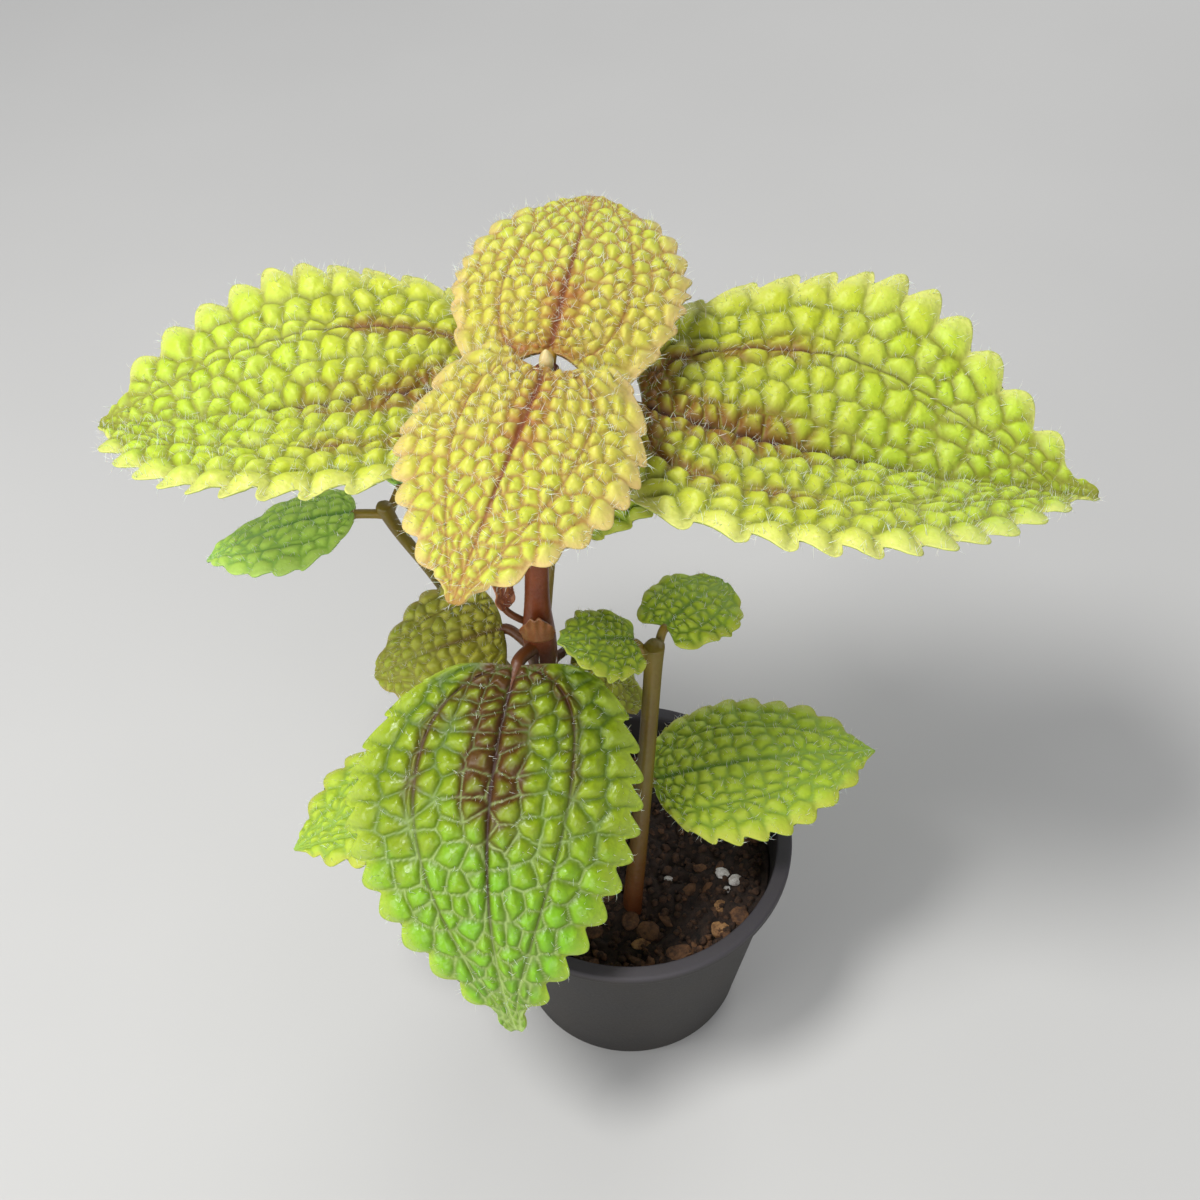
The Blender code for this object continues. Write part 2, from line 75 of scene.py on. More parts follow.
class Value:
    """A node's socket that takes Python's operators, each of which adds a Math node."""

    def __init__(self, bench: "Bench", socket: bpy.types.NodeSocket) -> None:
        """Keeps the socket and the bench it belongs to."""
        self.bench = bench
        self.socket = socket

    def _math(self, operation: str, *terms: object, clamp: bool = False) -> "Value":
        """A Math node on these terms."""
        settings = {"operation": operation, "use_clamp": clamp}
        return self.bench.add("ShaderNodeMath", settings, dict(enumerate(terms)))

    def __add__(self, other: object) -> "Value":
        """self + other."""
        return self._math("ADD", self, other)

    __radd__ = __add__

    def __sub__(self, other: object) -> "Value":
        """self - other."""
        return self._math("SUBTRACT", self, other)

    def __rsub__(self, other: object) -> "Value":
        """other - self."""
        return self._math("SUBTRACT", other, self)

    def __mul__(self, other: object) -> "Value":
        """self * other."""
        return self._math("MULTIPLY", self, other)

    __rmul__ = __mul__

    def __truediv__(self, other: object) -> "Value":
        """self / other."""
        return self._math("DIVIDE", self, other)

    def clamped(self) -> "Value":
        """This value held between 0 and 1."""
        return self._math("ADD", self, 0.0, clamp=True)

    def between(self, low: float, high: float) -> "Value":
        """0 below low, 1 above high and a smooth step between them."""
        settings = {"interpolation_type": "SMOOTHSTEP"}
        return self.bench.add("ShaderNodeMapRange", settings, {"Value": self, 1: low, 2: high})


class Bench:
    """A node tree being built."""

    def __init__(self, tree: bpy.types.NodeTree) -> None:
        """Keeps the tree."""
        self.tree = tree

    def add(self, kind: str, settings: dict | None = None, inputs: dict | None = None,
            output: int | str = 0) -> Value:
        """Adds a node.

        Args:
            kind: the node's type.
            settings: its own properties, which are set first.
            inputs: values or links by socket name or number.
            output: which output comes back.

        Returns:
            That output.
        """
        node = self.tree.nodes.new(kind)
        for key, value in (settings or {}).items():
            setattr(node, key, value)
        for key, value in (inputs or {}).items():
            self.feed(node.inputs[key], value)
        return Value(self, node.outputs[output])

    def feed(self, socket: bpy.types.NodeSocket, value: object) -> None:
        """Links a Value to a socket, or sets a plain value on it.

        Args:
            socket: the socket.
            value: a Value, or a plain number, colour or vector.
        """
        if isinstance(value, Value):
            self.tree.links.new(value.socket, socket)
        else:
            socket.default_value = value

    def mix(self, factor: object, first: object, second: object) -> Value:
        """A colour that goes from first to second as factor rises."""
        return self.add("ShaderNodeMix", {"data_type": "RGBA"}, {0: factor, 6: first, 7: second}, 2)

    def attribute(self, name: str) -> Value:
        """A number stored on the mesh."""
        return self.add("ShaderNodeAttribute", {"attribute_name": name}, {}, "Fac")

    def speckle(self, scale: float, detail: float = 2.0, rough: float = 0.5) -> Value:
        """Noise in the piece's own space.

        Args:
            scale: its size, in cycles a metre.
            detail: how many finer layers it has.
            rough: how strong the finer layers are.

        Returns:
            A number around a half.
        """
        place = self.add("ShaderNodeTexCoord", {}, {}, "Object")
        inputs = {"Vector": place, "Scale": scale, "Detail": detail, "Roughness": rough}
        return self.add("ShaderNodeTexNoise", {}, inputs, "Fac")

    def cells(self, scale: float) -> Value:
        """Distance from the middle of small cells in the piece's own space."""
        place = self.add("ShaderNodeTexCoord", {}, {}, "Object")
        return self.add("ShaderNodeTexVoronoi", {}, {"Vector": place, "Scale": scale}, "Distance")

    def bump(self, height: Value, strength: float, depth: float) -> Value:
        """A Bump node."""
        inputs = {"Height": height, "Strength": strength, "Distance": depth}
        return self.add("ShaderNodeBump", {}, inputs, "Normal")

    def height(self) -> Value:
        """The place along Z in the piece's own space, in metres."""
        place = self.add("ShaderNodeTexCoord", {}, {}, "Object")
        return self.add("ShaderNodeSeparateXYZ", {}, {0: place}, "Z")


def new_material(name: str, constants: dict[str, object]) -> tuple[bpy.types.Material, Bench]:
    """Makes a Principled material.

    Args:
        name: its name.
        constants: values for the shader's own sockets.

    Returns:
        The material and a bench on its nodes.
    """
    made = bpy.data.materials.new(name)
    made.use_nodes = True
    shader = made.node_tree.nodes["Principled BSDF"]
    for key, value in constants.items():
        shader.inputs[key].default_value = value
    return made, Bench(made.node_tree)


def wire(bench: Bench, links: dict[str, Value]) -> None:
    """Links values to the Principled shader's sockets.

    Args:
        bench: the material's bench.
        links: values by socket name.
    """
    shader = bench.tree.nodes["Principled BSDF"]
    for key, value in links.items():
        bench.feed(shader.inputs[key], value)


FINE_GRAIN = 1500.0
BLOTCH_GRAIN = 170.0


@dataclass(frozen=True)
class LeafFinish:
    """A leaf's colours: its quilted cells, their grooves darkened partly as painted shade, the net
    between them, and how it ages from base to tip.
    """

    name: str
    slot: str
    dome: Colour
    dome_far: Colour
    groove_with_shade: Colour
    margin: Colour
    stain: Colour
    vein: Colour
    vein_far: Colour
    under: Colour
    roughness: float = 0.36
    far_from: float = 0.3
    far_to: float = 0.85
    vein_from: float = 0.5
    vein_fades: float = 0.25
    net_fades: tuple[float, float] = (0.28, 0.6)

    def build(self) -> bpy.types.Material:
        """Makes the material.

        Returns:
            The material.
        """
        constants = {"Subsurface Weight": 0.1, "Subsurface Scale": 0.0008,
                     "Subsurface Radius": (0.6, 1.0, 0.2), "Sheen Roughness": 0.4,
                     "Sheen Weight": 0.06}
        made, bench = new_material(self.name, constants)
        names = ("dome", "along", "tint", "stain", "vein", "rim", "net")
        dome, along, tint, stain, vein, rim, net = (bench.attribute(name) for name in names)
        fine, blotch = bench.speckle(FINE_GRAIN, 3.0), bench.speckle(BLOTCH_GRAIN, 2.0)
        aged = (along + blotch * 0.5 - 0.25).between(self.far_from, self.far_to)
        # Painted shade: the colour darkens from the cells' tops down into the grooves between them,
        # over the leaf's own darker green there.
        body = bench.mix((dome * 1.7 + fine * 0.3 - 0.25).clamped(), self.groove_with_shade,
                         bench.mix(aged, self.dome, self.dome_far))
        # Some cells are paler, and so is the margin.
        body = bench.mix((tint * 0.3 * blotch).clamped(), body, self.margin)
        body = bench.mix((rim * (0.2 + fine * 0.8)).clamped(), body, self.margin)
        # The red-brown stain lies in the grooves first and hardly on the tops of the cells.
        soak = (stain * (0.35 + blotch * 1.2) * (1.38 - dome)).between(0.1, 0.85)
        body = bench.mix(soak * 0.92, body, self.stain)
        # The net pales towards the tip before the veins do.
        worn = along.between(*self.net_fades)
        body = bench.mix((net * 0.7).clamped(), body, bench.mix(worn, self.groove_with_shade, self.vein_far))
        faded = along.between(self.vein_from, self.vein_from + self.vein_fades)
        body = bench.mix((vein * 0.95).clamped(), body, bench.mix(faded, self.vein, self.vein_far))
        shade = bench.mix((vein * 0.5 + stain * 0.3).clamped(), self.under, self.stain)
        body = bench.mix(bench.attribute("under"), body, shade)
        rough = self.roughness + fine * 0.2 + (1.0 - dome) * 0.16
        relief = bench.bump(fine + bench.cells(1100.0) * 0.6, 0.35, 0.0003)
        wire(bench, {"Base Color": body, "Roughness": rough, "Normal": relief})
        return made


@dataclass(frozen=True)
class StemFinish:
    """A juicy stem: two tones that run into each other, darker towards the soil."""

    name: str
    slot: str
    main: Colour
    other: Colour
    low: Colour = srgb(84, 38, 14)
    low_from: float = 0.05
    low_to: float = 0.0
    roughness: float = 0.36

    def build(self) -> bpy.types.Material:
        """Makes the material.

        Returns:
            The material.
        """
        constants = {"Subsurface Weight": 0.1, "Subsurface Scale": 0.001}
        made, bench = new_material(self.name, constants)
        wide, fine = bench.speckle(110.0, 3.0), bench.speckle(FINE_GRAIN, 2.0)
        colour = bench.mix((wide * 1.6 - 0.3 + fine * 0.2).clamped(), self.main, self.other)
        colour = bench.mix(bench.height().between(self.low_to, self.low_from), self.low, colour)
        rough = self.roughness + fine * 0.2
        wire(bench, {"Base Color": colour, "Roughness": rough,
                     "Normal": bench.bump(fine + wide, 0.35, 0.0003)})
        return made


@dataclass(frozen=True)
class GrainFinish:
    """Soil, bark or grit: two tones in grains of one size."""

    name: str
    slot: str
    dark: Colour
    light: Colour
    grain: float
    roughness: float
    bump: float = 0.6
    depth: float = 0.0006
    balance: float = 0.5

    def build(self) -> bpy.types.Material:
        """Makes the material.

        Returns:
            The material.
        """
        made, bench = new_material(self.name, {})
        coarse, fine = bench.speckle(self.grain, 4.0, 0.6), bench.speckle(self.grain * 5, 3.0)
        spread = (coarse * 0.75 + fine * 0.35).between(self.balance - 0.14, self.balance + 0.2)
        colour = bench.mix(spread, self.dark, self.light)
        wire(bench, {"Base Color": colour, "Roughness": self.roughness + fine * 0.15,
                     "Normal": bench.bump(coarse + fine * 0.6, self.bump, self.depth)})
        return made


@dataclass(frozen=True)
class PotFinish:
    """Thin charcoal plastic: matte and faintly scuffed, with a painted highlight along the lip and a
    little dust.
    """

    name: str = "pot_charcoal"
    slot: str = "pot_plastic"
    body: Colour = srgb(36, 34, 33)
    # lip: a paler colour painted along the top of the lip as a highlight.
    lip: Colour = srgb(60, 57, 62)
    dust: Colour = srgb(64, 58, 48)
    highlight_depth: float = 1.6 * MM
    highlight_edge: float = 0.2 * MM

    def build(self) -> bpy.types.Material:
        """Makes the material.

        Returns:
            The material.
        """
        made, bench = new_material(self.name, {"Specular IOR Level": 0.4})
        fine, wide = bench.speckle(2600.0, 3.0), bench.speckle(90.0, 4.0, 0.6)
        top = Pot.height * MM
        # Painted highlight: the top of the lip is painted paler, where light catches it.
        lip_highlight = bench.height().between(top - self.highlight_depth, top - self.highlight_edge)
        colour = bench.mix(lip_highlight, self.body, self.lip)
        scuffs = (wide * 1.5 - 0.62 + fine * 0.2).clamped() * 0.35
        colour = bench.mix(scuffs, colour, self.dust)
        wire(bench, {"Base Color": colour, "Roughness": 0.5 + fine * 0.16 + wide * 0.08,
                     "Normal": bench.bump(fine + wide * 0.5, 0.18, 0.0002)})
        return made


@dataclass(frozen=True)
class HairFinish:
    """Clear whitish hairs."""

    name: str
    slot: str
    root: Colour = srgb(225, 226, 190)
    end: Colour = srgb(252, 252, 246)

    def build(self) -> bpy.types.Material:
        """Makes the material.

        Returns:
            The material.
        """
        made, bench = new_material(self.name, {"Roughness": 0.35, "Subsurface Weight": 0.3,
                                               "Subsurface Scale": 0.0005})
        wire(bench, {"Base Color": bench.mix(bench.speckle(700.0), self.root, self.end)})
        return made


LIME = LeafFinish(
    "leaf_lime_skin", "leaf_lime", dome=srgb(186, 196, 36), dome_far=srgb(180, 206, 40),
    groove_with_shade=srgb(134, 142, 16), margin=srgb(220, 220, 126), stain=srgb(126, 74, 20),
    vein=srgb(64, 30, 14), vein_far=srgb(140, 142, 44), under=srgb(150, 164, 78), vein_from=0.55,
)
GREEN = LeafFinish(
    "leaf_green_skin", "leaf_green", dome=srgb(126, 148, 8), dome_far=srgb(110, 168, 10),
    groove_with_shade=srgb(76, 102, 6), margin=srgb(176, 198, 52), stain=srgb(78, 32, 6),
    vein=srgb(50, 20, 10), vein_far=srgb(160, 184, 104), under=srgb(118, 138, 60),
    roughness=0.2, far_from=0.42, far_to=0.75, vein_from=0.68,
)
YOUNG = LeafFinish(
    "leaf_young_skin", "leaf_young", dome=srgb(194, 190, 62), dome_far=srgb(188, 196, 58),
    groove_with_shade=srgb(164, 146, 54), margin=srgb(210, 176, 122), stain=srgb(158, 94, 42),
    vein=srgb(122, 62, 34), vein_far=srgb(162, 118, 52), under=srgb(164, 136, 70),
    roughness=0.36, vein_from=0.7,
)
SHOOT = LeafFinish(
    "leaf_shoot_skin", "leaf_green", dome=srgb(166, 188, 36), dome_far=srgb(164, 192, 34),
    groove_with_shade=srgb(124, 154, 22), margin=srgb(186, 186, 70), stain=srgb(134, 128, 34),
    vein=srgb(104, 140, 34), vein_far=srgb(146, 180, 72), under=srgb(118, 150, 64),
    roughness=0.42,
)
# Painted light: pale green, made lighter still than the leaves' own colour to make up for the shade of
# the leaves above them.
PALE_LEAF_PAINTED_LIGHT = LeafFinish(
    "leaf_pale_skin", "leaf_green", dome=srgb(178, 214, 84), dome_far=srgb(182, 218, 84),
    groove_with_shade=srgb(146, 188, 64), margin=srgb(168, 196, 96), stain=srgb(110, 150, 50),
    vein=srgb(96, 146, 56), vein_far=srgb(140, 184, 92), under=srgb(118, 158, 80),
    roughness=0.45,
)
# Painted light: these colours are lighter than the leaves' own, to make up for the shade the crown
# leaves cast on them.
OLIVE_LEAF_PAINTED_LIGHT = LeafFinish(
    "leaf_olive_skin", "leaf_green", dome=srgb(174, 172, 44), dome_far=srgb(160, 172, 40),
    groove_with_shade=srgb(134, 130, 26), margin=srgb(186, 164, 84), stain=srgb(140, 104, 42),
    vein=srgb(118, 98, 36), vein_far=srgb(146, 148, 60), under=srgb(130, 130, 62),
    roughness=0.42,
)
BLUSH = LeafFinish(
    "leaf_blush_skin", "stem_red", dome=srgb(150, 92, 52), dome_far=srgb(164, 108, 58),
    groove_with_shade=srgb(110, 60, 34), margin=srgb(184, 120, 84), stain=srgb(126, 66, 40),
    vein=srgb(126, 70, 44), vein_far=srgb(160, 100, 66), under=srgb(144, 92, 62),
)
RED_STEM = StemFinish("stem_red_skin", "stem_red", srgb(128, 62, 18), srgb(92, 38, 10))
OLIVE_STEM = StemFinish("stem_olive_skin", "stem_olive", srgb(112, 100, 14), srgb(96, 76, 10),
                        low_from=0.075, low_to=0.035)
PALE_STALK = StemFinish("stalk_pale", "leaf_lime", srgb(168, 152, 44), srgb(150, 100, 36))
BROWN_STALK = StemFinish("stalk_brown", "stem_red", srgb(112, 64, 20), srgb(84, 42, 12))
GREEN_STALK = StemFinish("stalk_olive", "stem_olive", srgb(132, 118, 30), srgb(120, 92, 28))
SHEATH_SKIN = StemFinish("sheath_papery", "papery_brown", srgb(140, 92, 52), srgb(108, 66, 34),
                         roughness=0.3)
BUD_SKIN = StemFinish("bud_glossy", "leaf_young", srgb(230, 222, 180), srgb(206, 180, 110),
                      roughness=0.12)
PEAT = GrainFinish("peat", "soil", srgb(20, 14, 11), srgb(58, 42, 32), 700.0, 0.85)
CRUMB = GrainFinish("peat_crumbs", "soil", srgb(24, 17, 13), srgb(84, 58, 40), 900.0, 0.85)
BARK = GrainFinish("bark_bits", "soil", srgb(58, 36, 22), srgb(116, 80, 50), 500.0, 0.75)
TAN = GrainFinish("bark_tan", "soil", srgb(96, 62, 34), srgb(176, 132, 84), 500.0, 0.7)
GRIT = GrainFinish("white_grit", "soil", srgb(176, 166, 158), srgb(236, 232, 226), 900.0, 0.8)
HAIR = HairFinish("hairs_clear", "leaf_lime")
Finish = LeafFinish | StemFinish | GrainFinish | PotFinish | HairFinish


def publish(name: str, mesh: bpy.types.Mesh, finish: Finish, *nodes: str) -> bpy.types.Object:
    """Puts a finished mesh in the scene as a piece.

    Args:
        name: the piece's name.
        mesh: its mesh, already in place.
        finish: the finish it wears.
        nodes: the plain solids it stands for.

    Returns:
        The piece.
    """
    piece = bpy.data.objects.new(name, mesh)
    mesh.name = name
    if not mesh.materials:
        mesh.materials.append(Finishes.get(finish))
    bpy.context.scene.collection.objects.link(piece)
    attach(piece, Place.BODY.value)
    if nodes:
        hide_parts(*nodes)
    LOG.info("%s: %d faces", name, len(mesh.polygons))
    return piece


class Finishes:
    """The materials that are already made."""

    made: dict[str, bpy.types.Material] = {}

    @classmethod
    def get(cls, finish: Finish) -> bpy.types.Material:
        """The material of a finish, made once.

        Args:
            finish: the finish.

        Returns:
            Its material.
        """
        if finish.name not in cls.made:
            cls.made[finish.name] = finish.build()
        return cls.made[finish.name]


def smooth_path(points: Sequence[Sequence[float]], per_span: int) -> list[list[float]]:
    """Points read from a smooth curve through the given ones.

    Args:
        points: rows of numbers, such as x, y, z and radius.
        per_span: how many points stand for each given one.

    Returns:
        The rows along the curve.
    """
    ends = [points[0], *points, points[-1]]
    path = []
    for a, b, c, d in zip(ends, ends[1:], ends[2:], ends[3:], strict=False):
        for k in range(per_span):
            t = k / per_span
            path.append([
                0.5 * (2 * q + t * (r - p) + t * t * (2 * p - 5 * q + 4 * r - s)
                       + t**3 * (3 * q - p - 3 * r + s))
                for p, q, r, s in zip(a, b, c, d, strict=True)
            ])
    path.append(list(points[-1]))
    return path


class NodeTool:
    """A Geometry Nodes tree with named inputs, run on an object and turned into a plain mesh."""

    name = "tool"
    sizes: tuple[tuple[str, str], ...] = ()

    def __init__(self) -> None:
        """Builds the tree."""
        self.tree = bpy.data.node_groups.new(self.name, "GeometryNodeTree")
        face = self.tree.interface
        face.new_socket("Geometry", in_out="INPUT", socket_type="NodeSocketGeometry")
        self.keys = {}
        for label, kind in self.sizes:
            made = face.new_socket(label, in_out="INPUT", socket_type=f"NodeSocket{kind}")
            self.keys[label] = made.identifier
        face.new_socket("Geometry", in_out="OUTPUT", socket_type="NodeSocketGeometry")
        self.bench = Bench(self.tree)
        self.group_in = self.tree.nodes.new("NodeGroupInput")
        self.finish(self.shape())

    def given(self, label: str) -> Value:
        """A named input."""
        return Value(self.bench, self.group_in.outputs[label])

    def shape(self) -> Value:
        """Adds the nodes that make the geometry, in each kind of tool."""
        raise NotImplementedError

    def finish(self, shape: Value) -> None:
        """Realizes instances, sets the material and ends the tree.

        Args:
            shape: the geometry.
        """
        bench = self.bench
        whole = bench.add("GeometryNodeRealizeInstances", {}, {0: shape})
        inputs = {"Geometry": whole, "Material": self.given("Material")}
        dressed = bench.add("GeometryNodeSetMaterial", {}, inputs)
        group_out = self.tree.nodes.new("NodeGroupOutput")
        bench.feed(group_out.inputs[0], dressed)

    def run(self, source: bpy.types.ID, values: dict[str, object]) -> bpy.types.Mesh:
        """Runs the tree.

        Args:
            source: the curve or mesh it works on.
            values: its named inputs.

        Returns:
            The result as a plain mesh.
        """
        holder = bpy.data.objects.new("holder", source)
        bpy.context.scene.collection.objects.link(holder)
        modifier = holder.modifiers.new(self.name, "NODES")
        modifier.node_group = self.tree
        for label, value in values.items():
            modifier[self.keys[label]] = value
        graph = bpy.context.evaluated_depsgraph_get()
        mesh = bpy.data.meshes.new_from_object(holder.evaluated_get(graph), depsgraph=graph)
        holder.modifiers.remove(modifier)
        bpy.data.objects.remove(holder)
        return mesh


class StemTool(NodeTool):
    """Sweeps a faintly fluted round along a curve that carries its own radius."""

    name = "stem_sweep"
    flutes = 5
    crease = math.radians(60)
    sizes = (("Sides", "Int"), ("Flute depth", "Float"), ("Material", "Material"))

    def shape(self) -> Value:
        """A ring whose radius waves a few times round, swept along the curve.

        Returns:
            The swept stem.
        """
        bench = self.bench
        ring = bench.add("GeometryNodeCurvePrimitiveCircle", {},
                         {"Resolution": self.given("Sides"), "Radius": 1.0})
        turn = bench.add("GeometryNodeSplineParameter", {}, {}, "Factor")
        wave = bench.add("ShaderNodeMath", {"operation": "SINE"}, {0: turn * (self.flutes * math.tau)})
        place = bench.add("GeometryNodeInputPosition")
        grow = 1.0 + wave * self.given("Flute depth")
        fluted = bench.add("ShaderNodeVectorMath", {"operation": "SCALE"}, {0: place, "Scale": grow})
        ring = bench.add("GeometryNodeSetPosition", {}, {"Geometry": ring, "Position": fluted})
        inputs = {"Curve": self.given("Geometry"), "Profile Curve": ring, "Fill Caps": True}
        swept = self.tree.nodes.new("GeometryNodeCurveToMesh")
        for key, value in inputs.items():
            bench.feed(swept.inputs[key], value)
        if "Scale" in swept.inputs:
            bench.feed(swept.inputs["Scale"], bench.add("GeometryNodeInputRadius"))
        return Value(bench, swept.outputs[0])

    def sweep(self, rows: Sequence[Sequence[float]], sides: int, flute: float,
              finish: Finish) -> bpy.types.Mesh:
        """Sweeps one stem.

        Args:
            rows: x, y, z and radius along it, in metres.
            sides: how many sides its round has.
            flute: how deep it is fluted, as a share of its radius.
            finish: the finish it wears.

        Returns:
            The stem's mesh.
        """
        curve = bpy.data.curves.new("path", "CURVE")
        curve.dimensions = "3D"
        spline = curve.splines.new("POLY")
        spline.points.add(len(rows) - 1)
        for point, (x, y, z, radius) in zip(spline.points, rows, strict=True):
            point.co = (x, y, z, 1)
            point.radius = radius
        mesh = self.run(curve, {"Sides": sides, "Flute depth": flute,
                                "Material": Finishes.get(finish)})
        mesh.shade_smooth()
        mesh.set_sharp_from_angle(angle=self.crease)
        return mesh


class HairTool(NodeTool):
    """Plants fine tapered hairs that lean with the surface's relief."""

    name = "hair_field"
    sizes = (("Hairs a square metre", "Float"), ("Length", "Float"), ("Radius", "Float"),
             ("Lean", "Float"), ("Seed", "Int"), ("Material", "Material"))
    tilt = 0.6
    shortest = 0.45
    longest = 1.25

    def shape(self) -> Value:
        """Points spread where the mesh is hairy, each with a curved cone along the surface's normal.

        Returns:
            The hairs, as instances.
        """
        bench = self.bench
        hairy = bench.add("GeometryNodeInputNamedAttribute", {"data_type": "FLOAT"}, {"Name": "hairy"})
        inputs = {"Mesh": self.given("Geometry"), "Density": self.given("Hairs a square metre") * hairy,
                  "Seed": self.given("Seed")}
        points = bench.add("GeometryNodeDistributePointsOnFaces", {}, inputs)
        turned = Value(bench, points.socket.node.outputs["Rotation"])
        cone = bench.add("GeometryNodeMeshCone", {"fill_type": "NGON"},
                         {"Vertices": 3, "Side Segments": 2, "Radius Top": 0.0,
                          "Radius Bottom": self.given("Radius"), "Depth": self.given("Length")})
        place = bench.add("GeometryNodeInputPosition")
        rise = bench.add("ShaderNodeSeparateXYZ", {}, {0: place}, "Z")
        bend = rise * rise * self.given("Lean") / self.given("Length")
        shift = bench.add("ShaderNodeCombineXYZ", {}, {"X": bend})
        cone = bench.add("GeometryNodeSetPosition", {}, {"Geometry": cone, "Offset": shift})
        lean = bench.add("FunctionNodeRandomValue", {"data_type": "FLOAT_VECTOR"},
                         {0: (-self.tilt, -self.tilt, 0.0), 1: (self.tilt, self.tilt, math.tau),
                          "Seed": self.given("Seed")}, 0)
        size = bench.add("FunctionNodeRandomValue", {"data_type": "FLOAT"},
                         {2: self.shortest, 3: self.longest, "Seed": self.given("Seed")}, 1)
        placed = bench.add("GeometryNodeInstanceOnPoints", {},
                           {"Points": points, "Instance": cone, "Rotation": turned, "Scale": size})
        return bench.add("GeometryNodeRotateInstances", {}, {"Instances": placed, "Rotation": lean})


class CrumbTool(NodeTool):
    """Scatters copies of one rough lump over a bed."""

    name = "crumb_scatter"
    sizes = (("Crumbs a square metre", "Float"), ("Smallest", "Float"), ("Largest", "Float"),
             ("Stretch", "Float"), ("Lump", "Object"), ("Seed", "Int"), ("Material", "Material"))

    def shape(self) -> Value:
        """Points on the bed, each with a turned and stretched lump.

        Returns:
            The crumbs, as instances.
        """
        bench = self.bench
        inputs = {"Mesh": self.given("Geometry"), "Density": self.given("Crumbs a square metre"),
                  "Seed": self.given("Seed")}
        points = bench.add("GeometryNodeDistributePointsOnFaces", {}, inputs)
        lump = bench.add("GeometryNodeObjectInfo", {}, {"Object": self.given("Lump")}, "Geometry")
        turn = bench.add("FunctionNodeRandomValue", {"data_type": "FLOAT_VECTOR"},
                         {0: (0.0, 0.0, 0.0), 1: (math.tau, math.tau, math.tau),
                          "Seed": self.given("Seed")}, 0)
        size = bench.add("FunctionNodeRandomValue", {"data_type": "FLOAT"},
                         {2: self.given("Smallest"), 3: self.given("Largest"),
                          "Seed": self.given("Seed")}, 1)
        scale = bench.add("ShaderNodeCombineXYZ", {},
                          {"X": size * self.given("Stretch"), "Y": size, "Z": size})
        return bench.add("GeometryNodeInstanceOnPoints", {},
                         {"Points": points, "Instance": lump, "Rotation": turn, "Scale": scale})


MAIN_STEM = (
    (-5.2, -0.8, 22.0, 2.5),
    (-5.2, -0.8, 36.0, 2.5),
    (-7.0, 0.7, 50.0, 2.3),
    (-8.8, 2.2, 60.0, 2.9),
    (-11.0, 4.2, 70.0, 2.2),
    (-13.2, 7.0, 82.0, 2.15),
    (-14.2, 8.5, 92.0, 2.8),
    (-14.2, 9.9, 102.0, 2.05),
    (-13.4, 12.0, 118.0, 1.9),
    (-12.0, 14.2, 132.0, 1.9),
    (-11.2, 15.2, 139.5, 2.5),
    (-10.8, 15.6, 145.0, 1.9),
)
RIGHT_STEM = (
    (0.2, -11.4, 24.0, 1.8),
    (0.2, -11.4, 38.0, 1.8),
    (1.6, -7.4, 54.0, 1.6),
    (3.4, -0.6, 74.0, 1.5),
    (4.5, 4.0, 88.0, 1.55),
    (4.8, 5.6, 93.0, 1.8),
)
LEFT_BRANCH = (
    (-13.4, 7.4, 69.0, 1.25),
    (-17.6, 13.0, 71.5, 1.2),
    (-27.0, 24.0, 78.0, 1.15),
    (-33.4, 28.6, 87.5, 1.1),
    (-38.2, 29.4, 97.0, 1.1),
    (-40.4, 29.6, 103.5, 1.4),
)


def step(low: float, high: float, value: Array) -> Array:
    """0 below low, 1 above high and a smooth step between, for an array."""
    share = np.clip((value - low) / (high - low), 0, 1)
    return share * share * (3 - 2 * share)


def into_mesh(bm: bmesh.types.BMesh, name: str) -> bpy.types.Mesh:
    """Turns a worked shape into a mesh and lets the shape go.

    Args:
        bm: the shape.
        name: the mesh's name.

    Returns:
        The mesh.
    """
    mesh = bpy.data.meshes.new(name)
    bm.to_mesh(mesh)
    bm.free()
    return mesh


def put_in(name: str, data: bpy.types.ID) -> bpy.types.Object:
    """Puts a new object in the scene.

    Args:
        name: its name.
        data: its mesh, light or camera.

    Returns:
        The object.
    """
    made = bpy.data.objects.new(name, data)
    bpy.context.scene.collection.objects.link(made)
    return made


def bell(distance: Array, width: Array | float) -> Array:
    """A soft bump of height 1 that fades with distance from 0."""
    return np.exp(-((distance / width) ** 2))


def grid_quads(shape: tuple[int, int], first: int) -> tuple[Array, Array]:
    """Faces over a grid of verts.

    Args:
        shape: rows and columns of verts.
        first: the number of its first vert.

    Returns:
        The quads, and the verts round its border in order.
    """
    ids = np.arange(shape[0] * shape[1]).reshape(shape) + first
    quads = np.stack((ids[:-1, :-1], ids[:-1, 1:], ids[1:, 1:], ids[1:, :-1]), -1).reshape(-1, 4)
    return quads, np.concatenate((ids[0, :], ids[1:, -1], ids[-1, -2::-1], ids[-2:0:-1, 0]))


def sheet_mesh(name: str, upper: Array, lower: Array) -> bpy.types.Mesh:
    """A closed thin sheet between two grids of points in millimetres.

    Args:
        name: the mesh's name.
        upper: the upper face's points.
        lower: the lower face's, on the same grid or on every second row and column of it.

    Returns:
        The mesh.
    """
    top, rim = grid_quads(upper.shape[:2], 0)
    total = upper.shape[0] * upper.shape[1]
    bottom, edge = grid_quads(lower.shape[:2], total)
    wall = []
    each = len(rim) // len(edge)
    for k in range(len(edge)):
        run = [rim[(k * each + m) % len(rim)] for m in range(each + 1)]
        wall.append([*reversed(run), edge[k], edge[(k + 1) % len(edge)]])
    mesh = bpy.data.meshes.new(name)
    points = np.concatenate((upper.reshape(-1, 3), lower.reshape(-1, 3))) * MM
    mesh.from_pydata(points, [], [*top.tolist(), *bottom[:, ::-1].tolist(), *wall])
    mesh.shade_smooth()
    return mesh


def paint(mesh: bpy.types.Mesh, key: str, values: Array) -> None:
    """Stores a number on every vert."""
    layer = mesh.attributes.new(key, "FLOAT", "POINT")
    layer.data.foreach_set("value", values.astype(np.float32))


